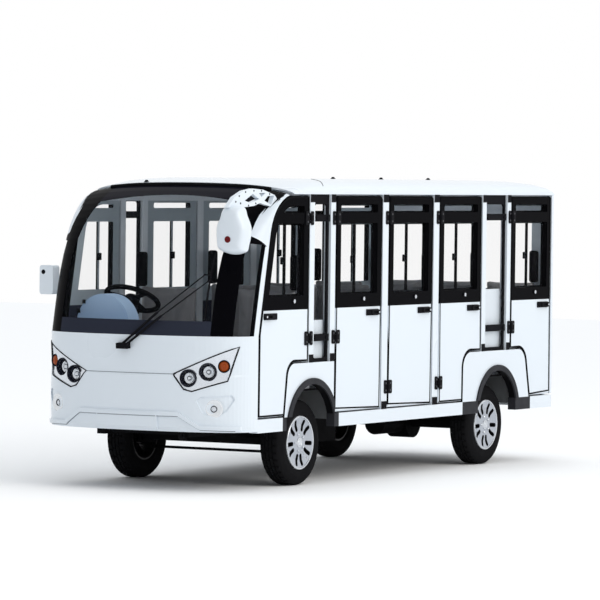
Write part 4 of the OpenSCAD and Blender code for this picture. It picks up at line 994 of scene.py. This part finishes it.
def along(corners, per_side, closed=False):
    """Evenly spaced points on the sides of a polygon given by two-number corners."""
    ends = corners[1:] + corners[:1] if closed else corners[1:]
    points = [
        (a[0] + (b[0] - a[0]) * i / per_side, a[1] + (b[1] - a[1]) * i / per_side)
        for a, b in zip(corners, ends) for i in range(per_side)
    ]
    return points if closed else points + [corners[-1]]


# %% Lines on the nose, grey as painted shade in its creases
GASKET = [(0.327, 0.753), (0.403, 0.657), (0.455, 0.6445), (0.658, 0.7125), (0.709, 0.930)]
GASKET_R = 0.0042
NOSE_SHADE_R = 0.0026
NOSE_CREASE = [(-0.322, 0.752), (0.322, 0.752)]
RIDGE_FOOT = [(0.0, 0.4835), (0.3675, 0.4835), (0.5025, 0.3985), (0.690, 0.3935)]
# the grey of the nose lines is painted shade along the crease and under the foot of the ridge
nose_shade_grey = finish("nose_shade_grey", (0.20, 0.23, 0.26), (0.25, 0.28, 0.31), 0.6)


def on_nose(points, side=1):
    """Points of the front view dropped on the nose, mirrored if the side is -1."""
    return [from_front(fascia_skin, side * x, z)[0] for x, z in points]


gasket_points = along(GASKET, 12, closed=True)
tube("headlamp_gaskets", [on_nose(gasket_points, side) for side in (-1, 1)], GASKET_R, closed=True)
ridge_points = along(RIDGE_FOOT, 12)
nose_shade_runs = [on_nose(along(NOSE_CREASE, 24)), on_nose(ridge_points, -1), on_nose(ridge_points)]
tube("nose_shade_lines", nose_shade_runs, NOSE_SHADE_R, nose_shade_grey)

# %% Roof seams and knobs
ROOF_SEAM = [(0.735, -1.085), (0.62, -0.93), (0.45, -0.74)]
SEAM_R = 0.0022
ROOF_KNOBS = [(0.0, 0.3625), (0.0, 1.0565), (0.0, 1.7635), (-0.35, -1.52)]
ROOF_KNOB = [
    (0, 0.014), (0.008, 0.013), (0.012, 0.008), (0.012, 0.004), (0.018, 0.003), (0.018, -0.004),
]
roof_skin = skin_of("roof")


def from_above(skin, x, y):
    """Point of a skin at a place in the top view."""
    return skin.ray_cast(Vector((x, y, RAY_START)), Vector((0, 0, -1)))[0]


seam_points = along(ROOF_SEAM, 10)
tube("roof_seams",
     [[from_above(roof_skin, side * x, y) for x, y in seam_points] for side in (-1, 1)], SEAM_R)
knobs = bmesh.new()
for x, y in ROOF_KNOBS:
    join_into(knobs, lathe(ROOF_KNOB, 24), Matrix.Translation(from_above(roof_skin, x, y)))
add_piece("roof_knobs", knobs, black_satin)

# %% [markdown]
# ## Door seals
# A black rubber bead runs all round each door and draws the heavy dark lines of the bus's side. Its
# path is read from the solid: the rim of the door's flat inner face, moved in by the bead's radius.

# %% Seal path
FLAT_OFF = 1e-4
FLAT_NORMAL = 0.99


def face_rim(name, plane_x):
    """Outer rim of a node's flat face at a given distance from the middle, as (y, z) points."""
    bm = merged_copy(name)
    flat = {
        face for face in bm.faces
        if abs(abs(face.calc_center_median().x) - plane_x) < FLAT_OFF
        and abs(face.normal.x) > FLAT_NORMAL
    }
    rim = [edge for edge in bm.edges if sum(face in flat for face in edge.link_faces) == 1]
    ring = [min((vert for edge in rim for vert in edge.verts), key=lambda vert: vert.co.z)]
    left = set(rim)
    while left:
        edge = next((edge for edge in ring[-1].link_edges if edge in left), None)
        if edge is None:
            break
        left.remove(edge)
        ring.append(edge.other_vert(ring[-1]))
    points = [Vector((vert.co.y, vert.co.z)) for vert in ring[:-1]]
    bm.free()
    return points


def moved_in(points, step):
    """Closed line of points moved inwards by a step, without points that lie close together."""
    kept = [p for p, q in zip(points, points[1:] + points[:1]) if (q - p).length > step / 4]
    area = sum(p.x * q.y - q.x * p.y for p, q in zip(kept, kept[1:] + kept[:1]))
    turn = 1 if area > 0 else -1
    result = []
    for before, here, after in zip(kept[-1:] + kept[:-1], kept, kept[1:] + kept[:1]):
        a = (here - before).normalized()
        b = (after - here).normalized()
        inward = Vector((-(a + b).y, (a + b).x)).normalized() * turn
        spread = max(0.5, inward.dot(Vector((-a.y, a.x)) * turn))
        result.append(here + inward * step / spread)
    return result


# %% Seals
DOOR_IN_X = 0.704
SEAL_R = 0.009
SEAL_X = HALF_W - 0.0045
# side and row of each door
DOORS = {
    letter + str(row + 1): (side, row)
    for side, letter in ((1, "l"), (-1, "r")) for row in range(5)
}

for key, (side, row) in DOORS.items():
    path = moved_in(face_rim("door_" + key, DOOR_IN_X), SEAL_R)
    tube("door_seal_" + key, [[(side * SEAL_X, y, z) for y, z in path]], SEAL_R,
         body="door_" + key, closed=True)

# %% [markdown]
# ## Door fittings
# Each door has a bright key lock under its glass, a plate that lengthens its handle, a screw on the
# handle, bolts on its two hinges and a latch on the middle bar of its sliding window. They ride on
# their door and swing with it. The bolts on the posts stay with the bus.

# %% Places on the doors
# front edge, way along Y from the hinge to the free edge, height of the lower hinge
DOOR_ROWS = [
    (-1.9175, -1, 0.965), (-0.9255, 1, 0.965), (-0.1965, 1, 0.610), (0.5325, 1, 0.610),
    (1.6205, 1, 0.965),
]
DOOR_W = 0.632
HINGE_OFF = 0.0045
HINGE_TOP_Z = 1.745
LEAF_X = HALF_W + 0.007
LEAF_MIDDLE = 0.0345
POST_LEAF_MIDDLE = 0.0285
BOLT_RISE = 0.024
FIRST_MIDDLE = 0.060
LOCK_SET = 0.060
LOCK_Z = 1.209
LOCK_X = HALF_W + 0.008
HANDLE_X = HALF_W + 0.022
HANDLE_Z = 1.116
HANDLE_SCREW = 0.064
PLATE_X = (HALF_W - 0.001, HALF_W + 0.010)
PLATE_REACH = (0.052, 0.215)
PLATE_HALF_H = 0.021
LATCH_X = (0.690, 0.7035)
LATCH_Z = 1.470
LATCH_HALF = (0.020, 0.024)
FITTING_ROUND = 0.004
# radius and rise of the domed heads
SCREW = (0.008, 0.003)
BOLT = (0.007, 0.004)
LOCK = [
    (0, 0.0016), (0.004, 0.0016), (0.0045, 0.0022), (0.0105, 0.0022), (0.0130, 0.0010),
    (0.0132, -0.002),
]
dark_steel = finish("dark_steel", (0.05, 0.052, 0.058), (0.10, 0.104, 0.115), 0.35, metal=0.6)


def stud(size, place, side):
    """Low domed head on a side face."""
    r, rise = size
    profile = [(0, rise), (r * 0.5, rise * 0.94), (r * 0.85, rise * 0.6), (r, 0), (r, -0.002)]
    return moved(lathe(profile, 20), facing(place, (side, 0, 0)))


def about(middle, half):
    """Two limits at the same distance from a middle."""
    return middle - half, middle + half


def side_block(side, xs, ys, zs):
    """Small rounded box between two limits on each axis, mirrored if the side is -1."""
    low, high = zip(*(sorted(pair) for pair in ([side * x for x in xs], ys, zs)))
    return block(low, high, FITTING_ROUND)

# %% Locks, screws, plates, bolts and latches
post_bolts = bmesh.new()
for key, (side, row) in DOORS.items():
    y, turn, low_hinge_z = DOOR_ROWS[row]
    hinge_y = y - HINGE_OFF if turn > 0 else y + DOOR_W + HINGE_OFF
    free_y = y + DOOR_W if turn > 0 else y
    bar_y = y + DOOR_W / 2 + (FIRST_MIDDLE if row == 0 else 0)
    lock_place = facing((side * LOCK_X, bar_y + LOCK_SET, LOCK_Z), (side, 0, 0))
    fittings = moved(lathe(LOCK, 32), lock_place)
    screw_place = (side * HANDLE_X, free_y - turn * HANDLE_SCREW, HANDLE_Z)
    join_into(fittings, stud(SCREW, screw_place, side))
    bolts = bmesh.new()
    for hinge_z in (HINGE_TOP_Z, low_hinge_z):
        for z in about(hinge_z, BOLT_RISE):
            door_y, post_y = hinge_y + turn * LEAF_MIDDLE, hinge_y - turn * POST_LEAF_MIDDLE
            join_into(bolts, stud(BOLT, (side * LEAF_X, door_y, z), side))
            join_into(post_bolts, stud(BOLT, (side * LEAF_X, post_y, z), side))
    plate = side_block(side, PLATE_X, [free_y - turn * reach for reach in PLATE_REACH],
                       about(HANDLE_Z, PLATE_HALF_H))
    latch = side_block(side, LATCH_X, about(bar_y, LATCH_HALF[0]), about(LATCH_Z, LATCH_HALF[1]))
    add_piece("handle_plate_" + key, plate, black_satin, "door_" + key)
    add_piece("door_studs_" + key, fittings, cap_silver, "door_" + key)
    add_piece("hinge_bolts_" + key, bolts, dark_steel, "door_" + key)
    add_piece("window_latch_" + key, latch, black_satin, "door_" + key)
add_piece("post_bolts", post_bolts, dark_steel)

# %% [markdown]
# ## Steering wheel rim
# The rim's solid has eight sides. A turned sleeve with a round section covers it, with a soft cap
# on the hub, both on the leaning column's axis so that they turn with the wheel.

# %% Rim sleeve and hub cap
COLUMN_LEAN = math.radians(28)
STEER_PLACE = (-0.375, -1.6401, 1.2007)
RIM_RING = 0.175
RIM_R = 0.0165
RIM_SIDES = 16
HORN_CAP = [(0, 0.026), (0.020, 0.025), (0.040, 0.019), (0.050, 0.010), (0.050, 0.0)]
turns = [math.tau * i / RIM_SIDES for i in range(RIM_SIDES + 1)]
rim = lathe([(RIM_RING + RIM_R * math.cos(t), RIM_R * math.sin(t)) for t in turns], 72)
join_into(rim, lathe(HORN_CAP, 40))
moved(rim, facing(STEER_PLACE, (0, math.sin(COLUMN_LEAN), math.cos(COLUMN_LEAN))))
add_piece("steering_rim", rim, black_rubber, "steering_wheel")

# %% [markdown]
# ## Left mirror shell
# The hanging mirror is a smooth moulded shell. Its outline from behind is a ring of points. A curve
# through them is drawn at several depths and sizes, and the rings are bridged into a skin that fits
# over the plain solid and turns in round the glass.

# %% Mirror shell
ROOF_EDGE = 1.900
NOSE_TIP_Y = -2.3025
# offsets from the bus's side and from the roof's edge
MIRROR_RING = [
    (-0.080, -0.085), (-0.110, -0.150), (-0.135, -0.210), (-0.132, -0.310), (-0.115, -0.355),
    (-0.030, -0.380), (0.045, -0.365), (0.062, -0.330), (0.081, -0.225), (0.050, -0.140),
    (0.022, -0.085),
]
MIRROR_MIDDLE = Vector((-0.028, -0.235))
# share of the outline and station behind the nose tip, from inside the glass recess to the front
SHELL_STEPS = [
    (0.868, 0.1285), (0.872, 0.1350), (0.900, 0.1372), (0.985, 0.1372), (1.010, 0.1340),
    (1.022, 0.1250), (1.022, 0.1050), (1.005, 0.0850), (0.960, 0.0640), (0.900, 0.0490),
    (0.815, 0.0370), (0.700, 0.0310), (0.450, 0.0275), (0.200, 0.0265),
]
SHELL_AROUND = 6
SHELL_CREASE = math.radians(60)


def through(ring, per_span):
    """Closed smooth line through a ring of points."""
    points = [Vector(p) for p in ring]
    count = len(points)
    line = []
    for i in range(count):
        a, b, c, d = (points[(i + j) % count] for j in (-1, 0, 1, 2))
        for step in range(per_span):
            t = step / per_span
            line.append(0.5 * ((2 * b) + (c - a) * t + (2 * a - 5 * b + 4 * c - d) * t * t
                               + (3 * b - a - 3 * c + d) * t ** 3))
    return line


def skinned(rings):
    """bmesh with a skin of four-sided faces over closed rings, capped at its last ring."""
    bm = bmesh.new()
    loops = [[bm.verts.new(point) for point in ring] for ring in rings]
    for near, far in zip(loops, loops[1:]):
        for i in range(len(near)):
            j = (i + 1) % len(near)
            bm.faces.new((near[i], near[j], far[j], far[i]))
    bm.faces.new(loops[-1])
    return bm


outline = through(MIRROR_RING, SHELL_AROUND)
rings = []
for share, station in SHELL_STEPS:
    ring = [MIRROR_MIDDLE + (point - MIRROR_MIDDLE) * share for point in outline]
    rings.append([(HALF_W + p.x, NOSE_TIP_Y + station, ROOF_EDGE + p.y) for p in ring])
add_piece("mirror_shell", skinned(rings), white_gel, crease=SHELL_CREASE)

# %% Mirror reflectors and arm rivets
RED_SPOT = (0.719, NOSE_TIP_Y + 0.0265, 1.613)
RED_PROFILE = [
    (0, 0.0040), (0.008, 0.0036), (0.0085, 0.0022), (0.011, 0.0022), (0.0115, 0.0040),
    (0.018, 0.0040), (0.021, 0.0020), (0.021, -0.006),
]
DARK_SPOT = (-0.836, NOSE_TIP_Y + 0.300, 1.372)
DARK_PROFILE = [(0, 0.0030), (0.012, 0.0024), (0.015, 0.0), (0.015, -0.004)]
AHEAD = (0, -1, 0)
ARM_FACE_X = 0.715
RIVET = (0.006, 0.004)
# station behind the nose tip and height over the roof's edge
ARM_RIVETS = [
    (0.172, -0.014), (0.250, 0.012), (0.355, 0.020), (0.452, 0.020), (0.555, 0.000),
    (0.190, -0.060), (0.290, -0.074), (0.380, -0.060), (0.130, -0.050),
]
spot_red = finish("spot_red", (0.10, 0.006, 0.008), (0.16, 0.010, 0.012), 0.3, shine=0.1)
add_piece("mirror_reflector", moved(lathe(RED_PROFILE, 32), facing(RED_SPOT, AHEAD)), spot_red)
add_piece("mirror_dark_spot", moved(lathe(DARK_PROFILE, 28), facing(DARK_SPOT, AHEAD)), black_satin)
rivets = bmesh.new()
for station, rise in ARM_RIVETS:
    join_into(rivets, stud(RIVET, (ARM_FACE_X, NOSE_TIP_Y + station, ROOF_EDGE + rise), 1))
add_piece("mirror_arm_rivets", rivets, black_satin)

# %% [markdown]
# ## Strip over the windscreen
# Between the glass and the roof runs a narrow slit. A round rubber strip fills it: a tube through
# the middle of the slit, with points measured on the two solids and mirrored to the other side.

# %% Windscreen strip
STRIP_R = 0.0145
STRIP_HALF = [
    (0.605, -1.5450, 1.9290), (0.567, -1.5473, 1.9330), (0.480, -1.5508, 1.9400),
    (0.376, -1.5535, 1.9457), (0.1845, -1.5558, 1.9508),
]
STRIP_MIDDLE = (0.0, -1.5563, 1.9520)
strip_path = STRIP_HALF + [STRIP_MIDDLE] + [(-x, y, z) for x, y, z in STRIP_HALF[::-1]]
tube("windscreen_strip", [strip_path], STRIP_R)

# %% [markdown]
# ## Rear trim
# The back wall is plain, so its trim does the work: a rubber gasket holds the window, and each lamp
# sits in a turned chrome rim with a raised lens ring.

# %% Window gasket and lamp rims
REAR_FACE_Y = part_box("rear_wall")[1][1]
LAMP_FACE_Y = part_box("tail_lamps")[1][1]
WINDOW_HALF_X = 0.600
WINDOW_Z = (1.210, 1.750)
WINDOW_R = 0.060
WINDOW_GASKET_R = 0.009
GASKET_ROUND = 8
TAIL_X = 0.655
TAIL_Z = (0.700, 0.800, 0.900)
TAIL_R = 0.044
TAIL_RIM = [
    (TAIL_R + 0.004, -0.007), (TAIL_R + 0.004, -0.001), (TAIL_R + 0.002, 0.0010),
    (TAIL_R - 0.002, 0.0010), (TAIL_R - 0.004, -0.001),
]
TAIL_LENS = [
    (TAIL_R - 0.006, -0.002), (TAIL_R - 0.008, 0.0018), (TAIL_R * 0.62, 0.0030),
    (TAIL_R * 0.56, 0.0010), (TAIL_R * 0.50, 0.0030), (0, 0.0042),
]

# a rectangle with round corners: middle of each corner, in order round the window
low_z, high_z = WINDOW_Z[0] + WINDOW_R, WINDOW_Z[1] - WINDOW_R
corner_x = WINDOW_HALF_X - WINDOW_R
corners = [(corner_x, high_z), (-corner_x, high_z), (-corner_x, low_z), (corner_x, low_z)]
window = []
for quarter, (x, z) in enumerate(corners):
    for i in range(GASKET_ROUND + 1):
        turn = math.pi / 2 * (quarter + i / GASKET_ROUND)
        window.append((x + WINDOW_R * math.cos(turn), REAR_FACE_Y, z + WINDOW_R * math.sin(turn)))
tube("rear_window_gasket", [window], WINDOW_GASKET_R, closed=True)
rims = bmesh.new()
lenses = bmesh.new()
for side in (-1, 1):
    for z in TAIL_Z:
        place = facing((side * TAIL_X, LAMP_FACE_Y, z), (0, 1, 0))
        join_into(rims, lathe(TAIL_RIM, 40), place)
        join_into(lenses, lathe(TAIL_LENS, 40), place)
add_piece("tail_rims", rims, lamp_chrome)
add_piece("tail_lens_caps", lenses, red_lens)

# %% [markdown]
# ## Dashboard controls
# The instrument hood is part of the solid. A row of three knobs beside it and two air outlets along
# the screen are added here. They are small, so turned knobs and plain rounded bars are enough.

# %% Knobs and outlets
DASH_KNOBS = [(-0.60, -2.00), (-0.56, -2.00), (-0.52, -2.00)]
DASH_KNOB = [(0, 0.022), (0.010, 0.021), (0.013, 0.016), (0.014, -0.004)]
OUTLETS = [(-0.08, -2.02), (0.32, -2.02)]
OUTLET_BARS = 4
BAR_STEP = 0.022
BAR_HALF_X = 0.09
BAR_HALF_Y = 0.006
BAR_SUNK = 0.002
BAR_RISE = 0.004
BAR_ROUND = 0.002
dash_skin = skin_of("dashboard")
controls = bmesh.new()
for x, y in DASH_KNOBS:
    join_into(controls, lathe(DASH_KNOB, 20), Matrix.Translation(from_above(dash_skin, x, y)))
for x, first_y in OUTLETS:
    spot = from_above(dash_skin, x, first_y)
    for bar in range(OUTLET_BARS):
        y = spot.y + BAR_STEP * bar
        low = (x - BAR_HALF_X, y - BAR_HALF_Y, spot.z - BAR_SUNK)
        high = (x + BAR_HALF_X, y + BAR_HALF_Y, spot.z + BAR_RISE)
        join_into(controls, block(low, high, BAR_ROUND))
add_piece("dash_controls", controls, black_satin)
